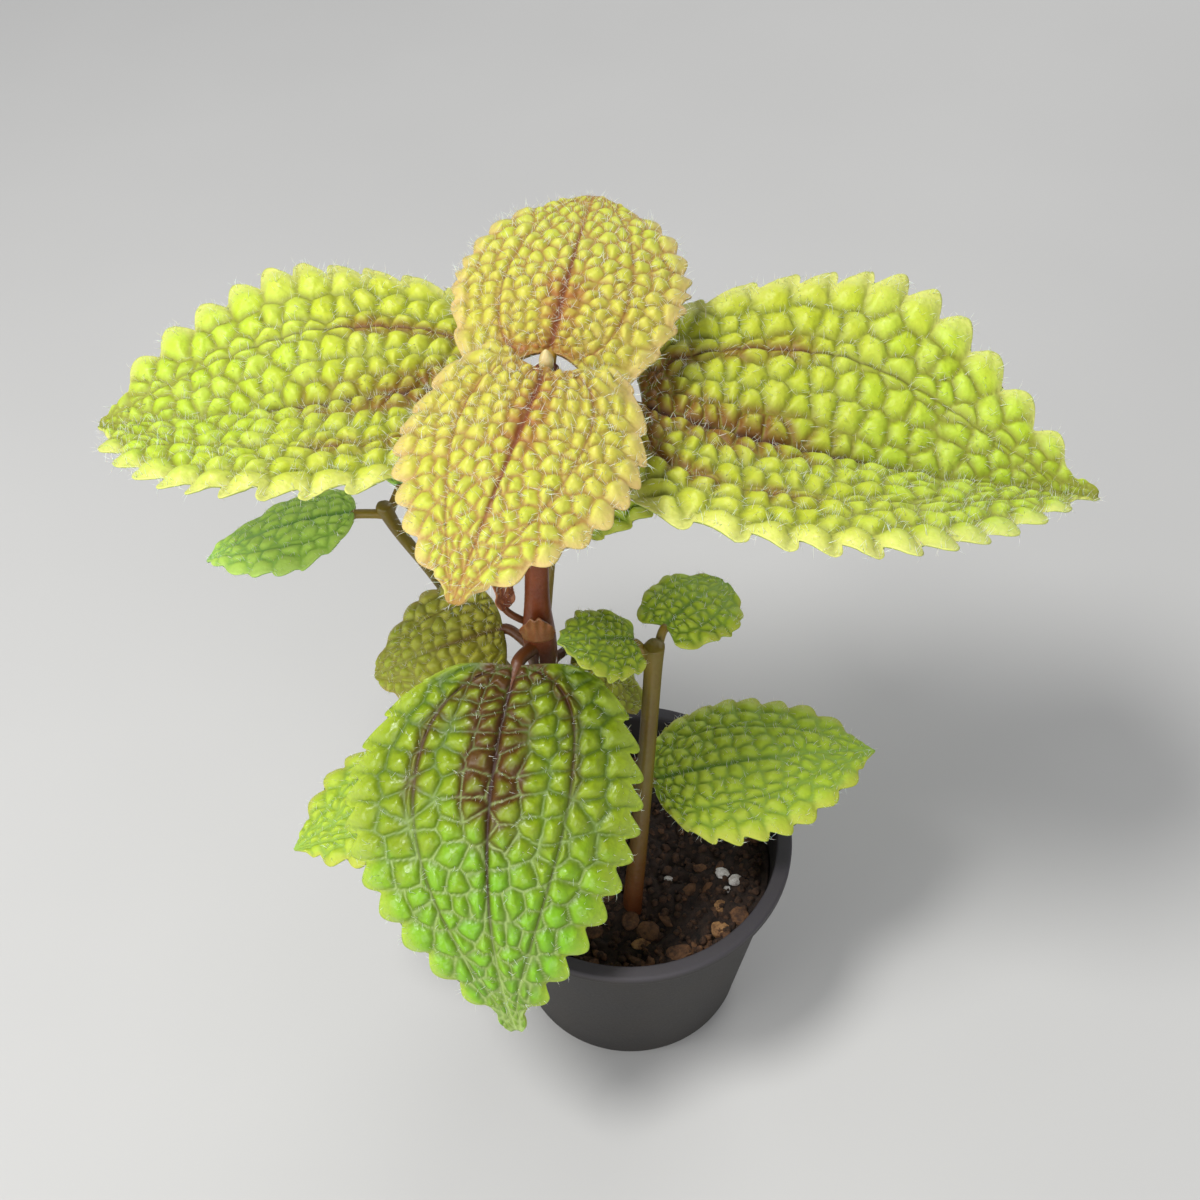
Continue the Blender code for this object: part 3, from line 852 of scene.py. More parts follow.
@dataclass(frozen=True)
class Quilting:
    """How a blade's cells rise between its veins, where it is hairy, and how far its stain reaches.

    Heights are shares of the leaf's relief. The cells' own measures are shares of a cell, the
    stain's are shares of half the leaf's width, and the veins' widths are in millimetres.
    """

    sideways_jitter: float = 0.28
    row_jitter: float = 0.34
    warp_across: float = 0.22
    warp_along: float = 0.3
    by_midrib: float = 0.7
    by_side_vein: float = 0.9
    pillow_reach: float = 0.5
    pillow_power: float = 2.4
    top_reach: float = 0.85
    top_share: float = 0.45
    least_height: float = 0.75
    height_spread: float = 0.4
    unevenness: float = 0.14
    peak_reach: float = 0.36
    midrib_sunk: float = 0.4
    midrib_valley: float = 0.8
    side_sunk: float = 0.16
    side_valley: float = 0.6
    margin_from: float = 0.9
    margin_sunk: float = 0.3
    rim_from: float = 0.84
    midrib_width: float = 0.2
    midrib_swell: float = 0.36
    side_width: float = 0.16
    side_weight: float = 0.5
    net_width: float = 0.13
    hairy_all: float = 0.35
    hairy_vein: float = 0.2
    hairy_net: float = 0.45
    hairy_top: float = 0.5
    hairy_rim: float = 2.0
    cloud_scale: float = 0.16
    stain_reach: float = 0.24
    side_stain_reach: float = 0.12
    stain_fades: tuple[float, float] = (0.4, 0.74)
    side_stain_fades: tuple[float, float] = (0.3, 0.6)


@dataclass
class Leaf:
    """One leaf. Lengths are in millimetres and angles in degrees.

    fold lifts both halves from the midrib, droop curls the margins down, bow carries the midrib
    sideways, lobe is how far the blade reaches back beside its petiole, relief is how high the
    quilting is, peak is how pointed its cells are, and end_lobe is the narrow lobe at the tip.
    """

    name: str
    stem: tuple
    height: float
    base: tuple[float, float, float]
    tip: tuple[float, float, float]
    width: float
    teeth: int
    relief: float
    tooth: float
    finish: LeafFinish
    stalk_finish: StemFinish = PALE_STALK
    roll: float = 0
    arch: float = 20
    fold: float = 0
    droop: float = 0.2
    bow: float = 0
    widest: float = 0.4
    base_power: float = 0.42
    tip_power: float = 1.1
    thickness: float = 0.55
    stalk: float = 1.0
    lobe: float = 0
    cells: int = 6
    columns: int = 200
    rows: int = 250
    hairs: float = 1.0
    hair_length: float = 1.7
    hair_radius: float = 0.045
    hair_lean: float = 0.35
    hair_density: float = 0.75e6
    stain: float = 1.0
    seed: int = 1
    base_bluntness: float = 2.4
    vein_sweep: float = 0.15
    vein_curve: float = 1.25
    tooth_slant: float = 0.6
    tooth_limit: float = 0.4
    tooth_depth: float = 0.72
    tooth_lean: float = 1.4
    tooth_round: float = 0.8
    notch: float = 0.1
    side_vein: float = 0.56
    lobe_peak: float = 0.06
    lobe_curve: float = 1.6
    rows_a_tooth: float = 1.45
    peak: float = 0.34
    side_stain: float = 0.4
    end_lobe: float = 0.5
    end_reach: float = 0.045
    wave: float = 0.35
    waves: float = 17
    edge_thinning: float = 0.4
    stalk_pull: float = 0.4
    stalk_out: float = 0.8
    stalk_in: float = 0.5
    stalk_steps: int = 14
    rib_steps: int = 28
    rib_reach: float = 0.94
    quilting: Quilting = Quilting()

    def __post_init__(self) -> None:
        """Works out the leaf's own axes."""
        self.base_v, self.tip_v = np.array(self.base), np.array(self.tip)
        chord = self.tip_v - self.base_v
        self.chord = float(np.linalg.norm(chord))
        self.ahead = chord / self.chord
        up = np.array((0.0, 0.0, 1.0))
        up = up - self.ahead * up.dot(self.ahead)
        up = Vector(up / np.linalg.norm(up))
        self.up = np.array(Matrix.Rotation(math.radians(self.roll), 3, Vector(self.ahead)) @ up)
        self.side = np.cross(self.ahead, self.up)
        self.bend = math.radians(self.arch)
        self.length = self.chord * self.bend / 2 / math.sin(self.bend / 2)
        self.half = self.width / 2

    def midrib(self, t: Array) -> Array:
        """Points on the midrib, an arc that may bow sideways.

        Args:
            t: shares of its length.

        Returns:
            The points.
        """
        t = np.asarray(t, float)
        turned = self.bend * (0.5 - t)
        ahead = (math.sin(self.bend / 2) - np.sin(turned)) / self.bend * self.length
        rise = (np.cos(turned) - math.cos(self.bend / 2)) / self.bend * self.length
        aside = self.bow * 4 * t * (1 - t)
        return (self.base_v + ahead[..., None] * self.ahead + rise[..., None] * self.up
                + aside[..., None] * self.side)

    def normal(self, t: Array) -> Array:
        """The blade's normals at t."""
        angle = self.bend * (0.5 - np.asarray(t, float))
        return np.cos(angle)[..., None] * self.up - np.sin(angle)[..., None] * self.ahead

    def outline(self, t: Array) -> Array:
        """Half the blade's width: a blunt base, an even taper and a narrow lobe at the tip.

        Args:
            t: shares of the leaf's length.

        Returns:
            The half widths.
        """
        near = (1 - np.abs(1 - np.minimum(t, self.widest) / self.widest) ** self.base_bluntness)
        far = 1 - (np.maximum(t - self.widest, 0) / (1 - self.widest)) ** 2
        half = self.half * np.where(t < self.widest, np.maximum(near, 0) ** self.base_power,
                                    np.maximum(far, 0) ** self.tip_power)
        end = 1 - ((t - 1 + self.end_reach) / self.end_reach) ** 2
        return np.maximum(half, self.end_lobe * np.sqrt(np.maximum(end, 0)))

    def place(self, across: Array, t: Array, height: Array) -> Array:
        """Points on the folded and curled blade.

        Args:
            across: how far they are from the midrib.
            t: where they are along it, as a share.
            height: how far they are raised.

        Returns:
            The points.
        """
        fall = self.droop * across * across / self.half
        fold = math.tan(math.radians(self.fold)) * (1 - (1 - np.maximum(t, 0)) ** 3)
        rise = fold * np.sqrt(across * across + 0.15) - fall + height
        return self.midrib(t) + across[..., None] * self.side + rise[..., None] * self.normal(t)

    def along(self, share: Array, edge: Array) -> Array:
        """Where a grid line runs that leaves the midrib ahead of its place on the margin.

        Args:
            share: the share across, -1 to 1.
            edge: the grid line's place on the margin.

        Returns:
            t, swept back into the basal lobes.
        """
        start = edge - self.vein_sweep * 4 * edge * (1 - edge)
        back = edge / self.lobe_peak * np.exp(1 - edge / self.lobe_peak) * self.lobe / self.length
        t = start + (edge - start) * np.abs(share) ** self.vein_curve
        return t - back * np.abs(share) ** self.lobe_curve

    def lay_out(self) -> tuple[Array, Array, Array, Array]:
        """Lays the grid out with its toothed margin.

        Returns:
            The share across, the share along, the millimetres across and t.
        """
        share, edge = np.meshgrid(np.linspace(-1, 1, self.columns + 1),
                                  np.linspace(0.005, 0.997, self.rows + 1))
        t = self.along(share, edge)
        across = share * self.outline(edge)
        phase = (edge * self.teeth) % 1.0
        lobe = np.sin(np.pi * phase**self.tooth_lean) ** self.tooth_round - self.notch
        reach = np.minimum(self.tooth, self.tooth_limit * self.outline(edge)) * step(0.02, 0.08, edge)
        reach = reach * (1 - step(0.9, 0.94, edge))
        near_rim = (np.abs(share) - self.tooth_depth) / (1 - self.tooth_depth)
        near_rim = np.clip(near_rim, 0, 1) ** 1.7
        across = across + np.sign(share) * reach * lobe * near_rim
        t = np.minimum(t + self.tooth_slant * reach * lobe * near_rim / self.length, 1.0)
        return share, edge, across, t

    def cell_centres(self, rng: np.random.Generator) -> Array:
        """Places the middles of the quilted cells, in rows that end in the teeth.

        Args:
            rng: the leaf's random numbers.

        Returns:
            Rows of millimetres across and along, and a random share.
        """
        quilting = self.quilting
        middles = []
        for k in range(self.cells):
            outer = k == self.cells - 1
            count = self.teeth if outer else round(self.teeth * self.rows_a_tooth)
            for row in range(-1, count + 1):
                for sign in (-1, 1):
                    aside = rng.uniform(-quilting.sideways_jitter, quilting.sideways_jitter)
                    share = (k + 0.5 + aside * (not outer)) / self.cells
                    edge = (row + 0.5 + 0.5 * ((self.cells - 1 - k) % 2)) / count
                    ahead = rng.uniform(-quilting.row_jitter, quilting.row_jitter)
                    edge += ahead / count * (not outer)
                    edge = min(max(edge, 0.004), 0.996)
                    t = float(self.along(np.array(share), np.array(edge)))
                    across = sign * share * float(self.outline(np.array(edge)))
                    middles.append((across, t * self.length, rng.uniform()))
        return np.array(middles)

    def nearest_cells(self, across: Array, t: Array, lumps: Array) -> tuple[Array, Array, Array]:
        """Looks up the cell that each grid point lies in.

        Args:
            across: millimetres across.
            t: the share along.
            lumps: unevenness that bends the cells' borders.

        Returns:
            The distance to the cell's middle and to its border, and its random share.
        """
        middles = self.cell_centres(np.random.default_rng(self.seed))
        flat = np.stack(((across + self.quilting.warp_across * lumps).ravel(),
                         (t * self.length + self.quilting.warp_along * lumps).ravel()), 1)
        away = np.linalg.norm(flat[:, None, :] - middles[None, :, :2], axis=2)
        order = np.argpartition(away, 1, axis=1)[:, :2]
        pair = np.take_along_axis(away, order, 1)
        nearest = np.take_along_axis(order, np.argmin(pair, 1)[:, None], 1)[:, 0]
        first = pair.min(1).reshape(across.shape)
        border = (pair.max(1).reshape(across.shape) - first) / 2
        return first, border, middles[nearest, 2].reshape(across.shape)

    def quilt(self) -> dict[str, Array]:
        """Works out the blade's relief and what it is painted by.

        Returns:
            A grid for each.
        """
        quilting = self.quilting
        share, edge, across, t = self.lay_out()
        lumps = self.lumps(across, t)
        first, border, tint = self.nearest_cells(across, t, lumps)
        side_line = self.side_vein * self.outline(edge) * (1 - np.exp(-edge / 0.05))
        to_mid, to_side = np.abs(across), np.abs(np.abs(across) - side_line)
        rim = np.abs(share)
        size = self.half / self.cells
        inner = np.minimum(np.minimum(border, to_mid * quilting.by_midrib),
                           to_side * quilting.by_side_vein)
        swell = 1 - np.clip(inner / (quilting.pillow_reach * size), 0, 1)
        pillow = 1 - swell**quilting.pillow_power
        round_top = 1 - np.clip(first / (quilting.top_reach * size), 0, 1) ** 2
        dome = pillow * (1 - quilting.top_share + quilting.top_share * round_top)
        height = self.relief * (dome * (quilting.least_height + quilting.height_spread * tint)
                                + quilting.unevenness * lumps * pillow)
        height = height + self.relief * self.peak * bell(first, quilting.peak_reach * size)
        sunk = (quilting.midrib_sunk * bell(to_mid, quilting.midrib_valley)
                + quilting.side_sunk * bell(to_side, quilting.side_valley))
        height = (height - self.relief * sunk) * step(0.0, 0.05, edge) * (1 - 0.5 * edge**4)
        margin = step(quilting.margin_from, 1.0, rim)
        height = height - quilting.margin_sunk * self.relief * margin
        vein = np.maximum(bell(to_mid, quilting.midrib_width + quilting.midrib_swell * (1 - edge)),
                          quilting.side_weight * bell(to_side, quilting.side_width)
                          * step(0.02, 0.1, edge))
        line = bell(border, quilting.net_width) * (1 - margin)
        hairy = (quilting.hairy_all + quilting.hairy_vein * vein + quilting.hairy_net * line
                 + quilting.hairy_top * round_top + quilting.hairy_rim * step(0.95, 1.0, rim))
        stain = self.stained(edge, to_mid, to_side, across, t)
        return {"share": share, "across": across, "t": t, "height": height,
                "dome": np.clip(dome, 0, 1), "along": edge, "tint": tint,
                "vein": np.clip(vein, 0, 1), "net": line, "stain": np.clip(stain, 0, 1),
                "rim": step(quilting.rim_from, 1.0, rim), "hairy": hairy}

    def stained(self, edge: Array, to_mid: Array, to_side: Array, across: Array, t: Array) -> Array:
        """How red-brown the blade is, in clouds along its veins near the base.

        Args:
            edge: the share along the margin.
            to_mid: the distance to the midrib.
            to_side: the distance to the side vein.
            across: millimetres across.
            t: the share along.

        Returns:
            The stain's strength.
        """
        quilting = self.quilting
        cloud = 0.5 + 0.5 * self.lumps(across * quilting.cloud_scale, t * quilting.cloud_scale)
        reach = bell(to_mid, quilting.stain_reach * self.half)
        reach = reach * (1 - step(*quilting.stain_fades, edge))
        side = bell(to_side, quilting.side_stain_reach * self.half)
        side = side * (1 - step(*quilting.side_stain_fades, edge))
        return self.stain * (reach + self.side_stain * side) * (0.35 + cloud)

    def lumps(self, across: Array, t: Array) -> Array:
        """Reads soft small-scale unevenness from noise laid flat on the blade.

        Args:
            across: millimetres across.
            t: the share along.

        Returns:
            Numbers from -1 to 1.
        """
        shift = self.seed * 17.3
        flat = zip((across * 0.9).ravel(), (t * self.length * 0.9).ravel(), strict=True)
        values = [noise.noise((x + shift, y, shift)) for x, y in flat]
        return np.array(values).reshape(across.shape)

    def blade(self) -> bpy.types.Mesh:
        """Makes the blade: a fine upper face, a lower one half as fine, and the margin.

        Returns:
            One closed mesh that carries what it is painted by.
        """
        parts = self.quilt()
        rim = np.abs(parts["share"])
        height = parts["height"] + self.wave * np.sin(parts["along"] * self.waves + self.seed) * rim**2
        body = 1 - step(self.quilting.margin_from, 1.0, rim)
        thin = self.thickness * (self.edge_thinning + (1 - self.edge_thinning) * body)
        upper = self.place(parts["across"], parts["t"], height)
        lower = self.place(parts["across"], parts["t"], height * 0.85 - thin)[::2, ::2]
        mesh = sheet_mesh(self.name, upper, lower)
        for key in ("dome", "along", "tint", "vein", "net", "stain", "rim", "hairy"):
            grid = parts[key]
            below = grid[::2, ::2].ravel() * (0.25 if key == "hairy" else 1)
            paint(mesh, key, np.concatenate((grid.ravel(), below)))
        count = parts["share"].size
        paint(mesh, "under", np.arange(len(mesh.vertices)) >= count)
        return mesh

    def joint(self) -> Array:
        """Finds where the petiole leaves the stem.

        Returns:
            A point on the stem's axis.
        """
        path = smooth_path(self.stem, 8)
        nearest = min(path, key=lambda p: abs(p[2] - self.height))
        return np.array(nearest[:3])

    def stalk_path(self) -> list[list[float]]:
        """Leads the petiole out of the stem, and on under the blade as its rib.

        Returns:
            Rows of x, y, z and radius in metres.
        """
        joint = self.joint()
        aim = self.base_v - joint
        aim[2] = 0
        aim = aim / np.linalg.norm(aim)
        angle = self.bend / 2
        ahead = self.ahead * math.cos(angle) + self.up * math.sin(angle)
        reach = np.linalg.norm(self.base_v - joint) * self.stalk_pull
        end = self.base_v - self.normal(np.array(0.0)) * self.stalk * 0.75
        corners = (joint, joint + aim * reach * self.stalk_out,
                   end - ahead * reach * self.stalk_in, end)
        rows = []
        for k in range(self.stalk_steps + 1):
            t = k / self.stalk_steps
            weights = ((1 - t) ** 3, 3 * t * (1 - t) ** 2, 3 * t * t * (1 - t), t**3)
            place = sum(w * c for w, c in zip(weights, corners, strict=True))
            rows.append([*place, self.stalk * (1.25 - 0.25 * min(3 * t, 1))])
        for k in range(1, self.rib_steps + 1):
            t = self.rib_reach * k / self.rib_steps
            radius = self.stalk * (1 - t) ** 0.8 * (1 - 0.4 * min(t * 8, 1)) + 0.12
            sink = 0.4 * self.relief * min(t * 10, 1) + 0.08 + radius
            place = self.midrib(np.array(t)) - self.normal(np.array(t)) * sink
            rows.append([*place, radius])
        return [[v * MM for v in row] for row in rows]

    def build(self, sweeps: StemTool, hairs: HairTool) -> None:
        """Makes the leaf's pieces: its blade, its petiole and its hairs.

        Args:
            sweeps: the tool for the petiole.
            hairs: the tool for the hairs.
        """
        blade = self.blade()
        values = {"Hairs a square metre": self.hair_density * self.hairs,
                  "Length": self.hair_length * MM, "Radius": self.hair_radius * MM,
                  "Lean": self.hair_lean, "Seed": self.seed, "Material": Finishes.get(HAIR)}
        fuzz = hairs.run(blade.copy(), values)
        publish(f"{self.name}_blade", blade, self.finish, self.name)
        stalk = sweeps.sweep(self.stalk_path(), 14, 0.05, self.stalk_finish)
        publish(f"{self.name}_stalk", stalk, self.stalk_finish)
        fuzz.shade_smooth()
        publish(f"{self.name}_hairs", fuzz, HAIR)


@dataclass
class Pot:
    """The nursery pot, in millimetres: a thin tapered wall with a turned-out rolled lip."""

    height: float = 46.0
    rim: float = 30.0
    wall_top: float = 28.2
    wall_foot: float = 21.6
    foot: float = 18.6
    foot_rings: tuple[float, float] = (0.5, 0.82)
    rounding: float = 3.2
    wall: float = 0.9
    floor: float = 1.4
    lip_drop: float = 2.2
    lip_round: float = 0.55
    edge_round: float = 0.4
    crease: float = 35.0
    sides: int = 144
    drains: int = 4
    drain_radius: float = 2.4
    drain_ring: float = 12.0
    drain_depth: float = 6.0
    drain_sides: int = 32

    def inner(self, z: float) -> float:
        """The inner wall's radius at a height."""
        share = (z - self.rounding) / (self.height - self.lip_drop - self.rounding)
        return self.wall_foot + (self.wall_top - self.wall_foot) * share - self.wall

    @staticmethod
    def arc(radius: float, z: float, size: float, start: float,
            steps: int) -> list[tuple[float, float]]:
        """A quarter turn of the profile.

        Args:
            radius: how far its middle is from the axis.
            z: its middle's height.
            size: its own radius.
            start: the angle it starts at, in radians.
            steps: how many steps it takes.

        Returns:
            Its points.
        """
        angles = [start + math.pi / 2 * k / steps for k in range(steps + 1)]
        return [(radius + size * math.cos(a), z + size * math.sin(a)) for a in angles]

    def profile(self) -> list[tuple[float, float]]:
        """Draws the wall from the middle of the underside out, up, over the lip and back.

        Returns:
            Radius and height pairs.
        """
        top, lip, edge = self.height, self.lip_round, self.edge_round
        rows = [(0.0, 0.0), *((self.foot * share, 0.0) for share in self.foot_rings)]
        for k in range(9):
            angle = math.pi / 2 * k / 8
            rows.append((self.foot + (self.wall_foot - self.foot) * math.sin(angle),
                         self.rounding * (1 - math.cos(angle))))
        for k in range(1, 9):
            share = k / 8
            rows.append((self.wall_foot + (self.wall_top - self.wall_foot) * share,
                         self.rounding + (top - self.lip_drop - self.rounding) * share))
        rows.append((self.rim - lip, top - self.lip_drop))
        rows += self.arc(self.rim - lip, top - self.lip_drop + lip, lip, -math.pi / 2, 6)
        rows += self.arc(self.rim - lip, top - lip, lip, 0.0, 6)
        rows += self.arc(self.wall_top - self.wall + edge, top - edge, edge, math.pi / 2, 5)
        for k in range(1, 8):
            z = top - edge - (top - edge - self.rounding - self.floor) * k / 7
            rows.append((self.inner(z), z))
        rows.append((self.foot, self.floor))
        rows += [(self.foot * share, self.floor) for share in reversed(self.foot_rings)]
        return [*rows, (0.0, self.floor)]

    def drain(self, number: int) -> bpy.types.Object:
        """Makes the round that cuts a drain hole.

        Args:
            number: which hole it is.

        Returns:
            The cutter.
        """
        angle = math.tau * (number + 0.5) / self.drains
        bm = bmesh.new()
        bmesh.ops.create_cone(bm, cap_ends=True, segments=self.drain_sides,
                              radius1=self.drain_radius * MM, radius2=self.drain_radius * MM,
                              depth=self.drain_depth * MM)
        bmesh.ops.translate(bm, verts=bm.verts, vec=(
            self.drain_ring * MM * math.cos(angle), self.drain_ring * MM * math.sin(angle), 0))
        return put_in("drain", into_mesh(bm, "drain"))

    def build(self) -> None:
        """Makes the pot with its drain holes."""
        bm = turned([(r * MM, z * MM) for r, z in self.profile()], self.sides)
        holder = put_in("pot_holder", into_mesh(bm, "pot_shell"))
        cutters = [self.drain(number) for number in range(self.drains)]
        for cutter in cutters:
            modifier = holder.modifiers.new("drain", "BOOLEAN")
            modifier.operation = "DIFFERENCE"
            modifier.object = cutter
        graph = bpy.context.evaluated_depsgraph_get()
        mesh = bpy.data.meshes.new_from_object(holder.evaluated_get(graph), depsgraph=graph)
        for spent in (*cutters, holder):
            bpy.data.objects.remove(spent)
        mesh.materials.clear()
        mesh.shade_smooth()
        mesh.set_sharp_from_angle(angle=math.radians(self.crease))
        publish("pot_shell", mesh, PotFinish(), "pot")


def turned(profile: Sequence[tuple[float, float]], sides: int) -> bmesh.types.BMesh:
    """A closed shape turned round Z.

    Args:
        profile: radius and height pairs whose ends lie on the axis, in metres.
        sides: how many steps go round.

    Returns:
        The shape, with its faces outward.
    """
    bm = bmesh.new()
    verts = [bm.verts.new((radius, 0, height)) for radius, height in profile]
    edges = [bm.edges.new(pair) for pair in zip(verts, verts[1:], strict=False)]
    bmesh.ops.spin(bm, geom=verts + edges, cent=(0, 0, 0), axis=(0, 0, 1), angle=math.tau,
                   steps=sides, use_merge=True, use_duplicate=False)
    bmesh.ops.remove_doubles(bm, verts=bm.verts, dist=0.00001)
    bmesh.ops.recalc_face_normals(bm, faces=bm.faces)
    return bm


@dataclass(frozen=True)
class Flake:
    """A larger bit lying on the soil: where, how big, how long for its width, and its turn."""

    x: float
    y: float
    size: float
    stretch: float
    turn: float
    finish: GrainFinish = BARK


FLAKES = (
    Flake(-7.1, -15.9, 3.0, 1.3, 20),
    Flake(-0.3, -14.5, 3.2, 1.2, 60),
    Flake(2.9, -16.2, 4.0, 1.1, -30),
    Flake(1.5, -18.6, 2.4, 1.5, 10, TAN),
    Flake(-10.4, -18.8, 3.0, 1.2, 80, TAN),
    Flake(-7.4, -22.0, 2.0, 1.6, 40),
    Flake(1.2, -22.3, 1.6, 3.4, -35),
    Flake(8.4, -20.5, 3.2, 1.5, 5),
    Flake(11.0, -7.3, 2.2, 1.4, 50),
    Flake(16.3, -11.1, 2.2, 1.3, 75, TAN),
    Flake(15.8, -15.6, 3.2, 1.2, 15, TAN),
    Flake(19.7, -13.5, 3.4, 1.2, -50),
    Flake(17.4, -18.0, 2.2, 1.4, -60),
    Flake(13.6, -18.8, 1.4, 2.8, 70),
    Flake(6.1, -13.8, 1.5, 2.6, -55),
    Flake(-4.2, -8.9, 2.8, 1.3, 30),
    Flake(13.1, -3.0, 1.8, 1.5, 0),
    Flake(-16.0, 4.0, 2.6, 1.5, 15),
    Flake(-11.0, 14.0, 3.2, 1.2, 50, TAN),
    Flake(3.0, 16.5, 2.4, 1.7, -20),
    Flake(12.5, 11.0, 2.8, 1.3, 70),
    Flake(-20.0, -6.0, 2.2, 1.5, -40, TAN),
    Flake(17.1, -4.5, 2.3, 1.2, -30, GRIT),
    Flake(19.4, -5.8, 2.2, 1.2, 20, GRIT),
    Flake(17.8, -7.3, 1.5, 1.2, 60, GRIT),
    Flake(7.1, -5.0, 1.3, 1.3, 0, GRIT),
    Flake(-14.0, 9.0, 1.9, 1.2, 40, GRIT),
    Flake(7.0, 19.0, 1.6, 1.2, 10, GRIT),
)


@dataclass(frozen=True)
class Litter:
    """Bits scattered over the soil: how many a square metre, and their sizes in millimetres."""

    name: str
    finish: GrainFinish
    density: float
    smallest: float
    largest: float
    stretch: float
    rough: float
    seed: int


LITTER = (
    Litter("soil_crumbs", CRUMB, 420000.0, 0.5, 1.7, 1.0, 0.28, 3),
    Litter("soil_bark", BARK, 34000.0, 0.6, 1.5, 2.2, 0.3, 7),
)


@dataclass
class Soil:
    """The soil, in millimetres: a lumpy bed that fills the pot, with crumbs, bark and grit."""

    level: float = 38.0
    radius: float = 26.2
    sides: int = 120
    rings: int = 60
    lump: float = 1.5
    lump_size: float = 6.0
    clod: float = 0.9
    clod_size: float = 2.1
    crumb: float = 0.45
    heap: float = 1.1
    heap_reach: float = 4.5
    under: float = 1.8
    foot: float = 17.5
    foot_edge: tuple[float, float] = (20.3, 5.0)
    shoulder: float = 0.965
    shoulder_drop: float = 7.0
    bare_rim: float = 1.6
    flake_tilt: float = 0.35
    flake_flatness: float = 0.5
    flake_lift: float = 0.12
    flake_rough: float = 0.32
    flake_grain: float = 0.12

    def lift(self, x: float, y: float) -> float:
        """Works out how far the bed stands above its level, heaped a little round the stems.

        Args:
            x: a place on the bed, in millimetres.
            y: the same.

        Returns:
            The height in millimetres.
        """
        fade = 1 - min((math.hypot(x, y) / self.radius) ** 4, 1)
        broad = self.lump * noise.noise((x / self.lump_size, y / self.lump_size, 0))
        clods = (self.clod * noise.noise((x / self.clod_size, y / self.clod_size, 4.0))
                 + self.crumb * noise.noise((x, y, 9.0)))
        heap = 0.0
        for stem in (MAIN_STEM, RIGHT_STEM):
            away = math.hypot(x - stem[1][0], y - stem[1][1])
            heap += self.heap * math.exp(-((away / self.heap_reach) ** 2))
        return broad * (0.35 + 0.65 * fade) + clods + heap

    def bed(self) -> bpy.types.Mesh:
        """Makes the bed.

        Returns:
            A closed mesh.
        """
        rows = [(0.0, self.under), (self.foot, self.under), self.foot_edge,
                (self.radius * self.shoulder, self.level - self.shoulder_drop),
                (self.radius, self.level)]
        rows += [(self.radius * k / self.rings, self.level) for k in reversed(range(self.rings))]
        bm = turned([(r * MM, z * MM) for r, z in rows], self.sides)
        for vert in bm.verts:
            if vert.co.z > (self.level - 0.1) * MM:
                vert.co.z += self.lift(vert.co.x / MM, vert.co.y / MM) * MM
        mesh = into_mesh(bm, "bed")
        mesh.shade_smooth()
        return mesh

    def top(self) -> bpy.types.Mesh:
        """Makes an open copy of the bed's top, a little in from the wall, to scatter on.

        Returns:
            The mesh.
        """
        bm = bmesh.new()
        bmesh.ops.create_circle(bm, cap_ends=True, segments=48,
                                radius=(self.radius - self.bare_rim) * MM)
        bmesh.ops.triangulate(bm, faces=bm.faces)
        bmesh.ops.subdivide_edges(bm, edges=bm.edges, cuts=12, use_grid_fill=True)
        for vert in bm.verts:
            vert.co.z = (self.level + self.lift(vert.co.x / MM, vert.co.y / MM)) * MM
        return into_mesh(bm, "bed_top")

    @staticmethod
    def lump_shape(seed: int, rough: float) -> bpy.types.Object:
        """Makes one rough lump of unit size.

        Args:
            seed: what its random numbers start from.
            rough: how rough it is, as a share of its radius.

        Returns:
            The lump.
        """
        rng = np.random.default_rng(seed)
        bm = bmesh.new()
        bmesh.ops.create_icosphere(bm, subdivisions=2, radius=0.5)
        for vert in bm.verts:
            vert.co *= 1 + rough * rng.uniform(-1, 1)
        return put_in("lump", into_mesh(bm, "lump"))

    def build(self, scatter: CrumbTool) -> None:
        """Makes the bed and what lies on it.

        Args:
            scatter: the tool for the crumbs.
        """
        publish("soil_bed", self.bed(), PEAT, "soil")
        for kind in LITTER:
            lump = self.lump_shape(kind.seed, kind.rough)
            values = {"Crumbs a square metre": kind.density, "Smallest": kind.smallest * MM,
                      "Largest": kind.largest * MM, "Stretch": kind.stretch, "Lump": lump,
                      "Seed": kind.seed, "Material": Finishes.get(kind.finish)}
            mesh = scatter.run(self.top(), values)
            bpy.data.objects.remove(lump)
            mesh.shade_smooth()
            publish(kind.name, mesh, kind.finish)
        for name, finish in (("soil_flakes", BARK), ("soil_tan_flakes", TAN), ("soil_grit", GRIT)):
            publish(name, self.flakes([f for f in FLAKES if f.finish is finish]), finish)

    def flakes(self, chosen: Sequence[Flake]) -> bpy.types.Mesh:
        """The chosen flakes as one mesh of closed lumps, half sunk in the bed.

        Args:
            chosen: the flakes.

        Returns:
            The mesh.
        """
        bm = bmesh.new()
        for number, flake in enumerate(chosen):
            rng = np.random.default_rng(number + 40)
            lump = bmesh.ops.create_icosphere(bm, subdivisions=2, radius=0.5)["verts"]
            turn = Matrix.Rotation(math.radians(flake.turn), 3, "Z")
            tilt = Matrix.Rotation(rng.uniform(-self.flake_tilt, self.flake_tilt), 3, "X")
            size = Vector((flake.size * flake.stretch, flake.size,
                           flake.size * self.flake_flatness))
            high = self.level + self.lift(flake.x, flake.y) + flake.size * self.flake_lift
            for vert in lump:
                coarse = noise.noise(vert.co * 4.5 + Vector((number * 3.1, 0, 0)))
                fine = noise.noise(vert.co * 13 + Vector((0, number * 2.3, 0)))
                rough = 1 + self.flake_rough * coarse + self.flake_grain * fine
                place = turn @ tilt @ (vert.co * rough * size)
                vert.co = (place + Vector((flake.x, flake.y, high))) * MM
        return into_mesh(bm, "flakes")


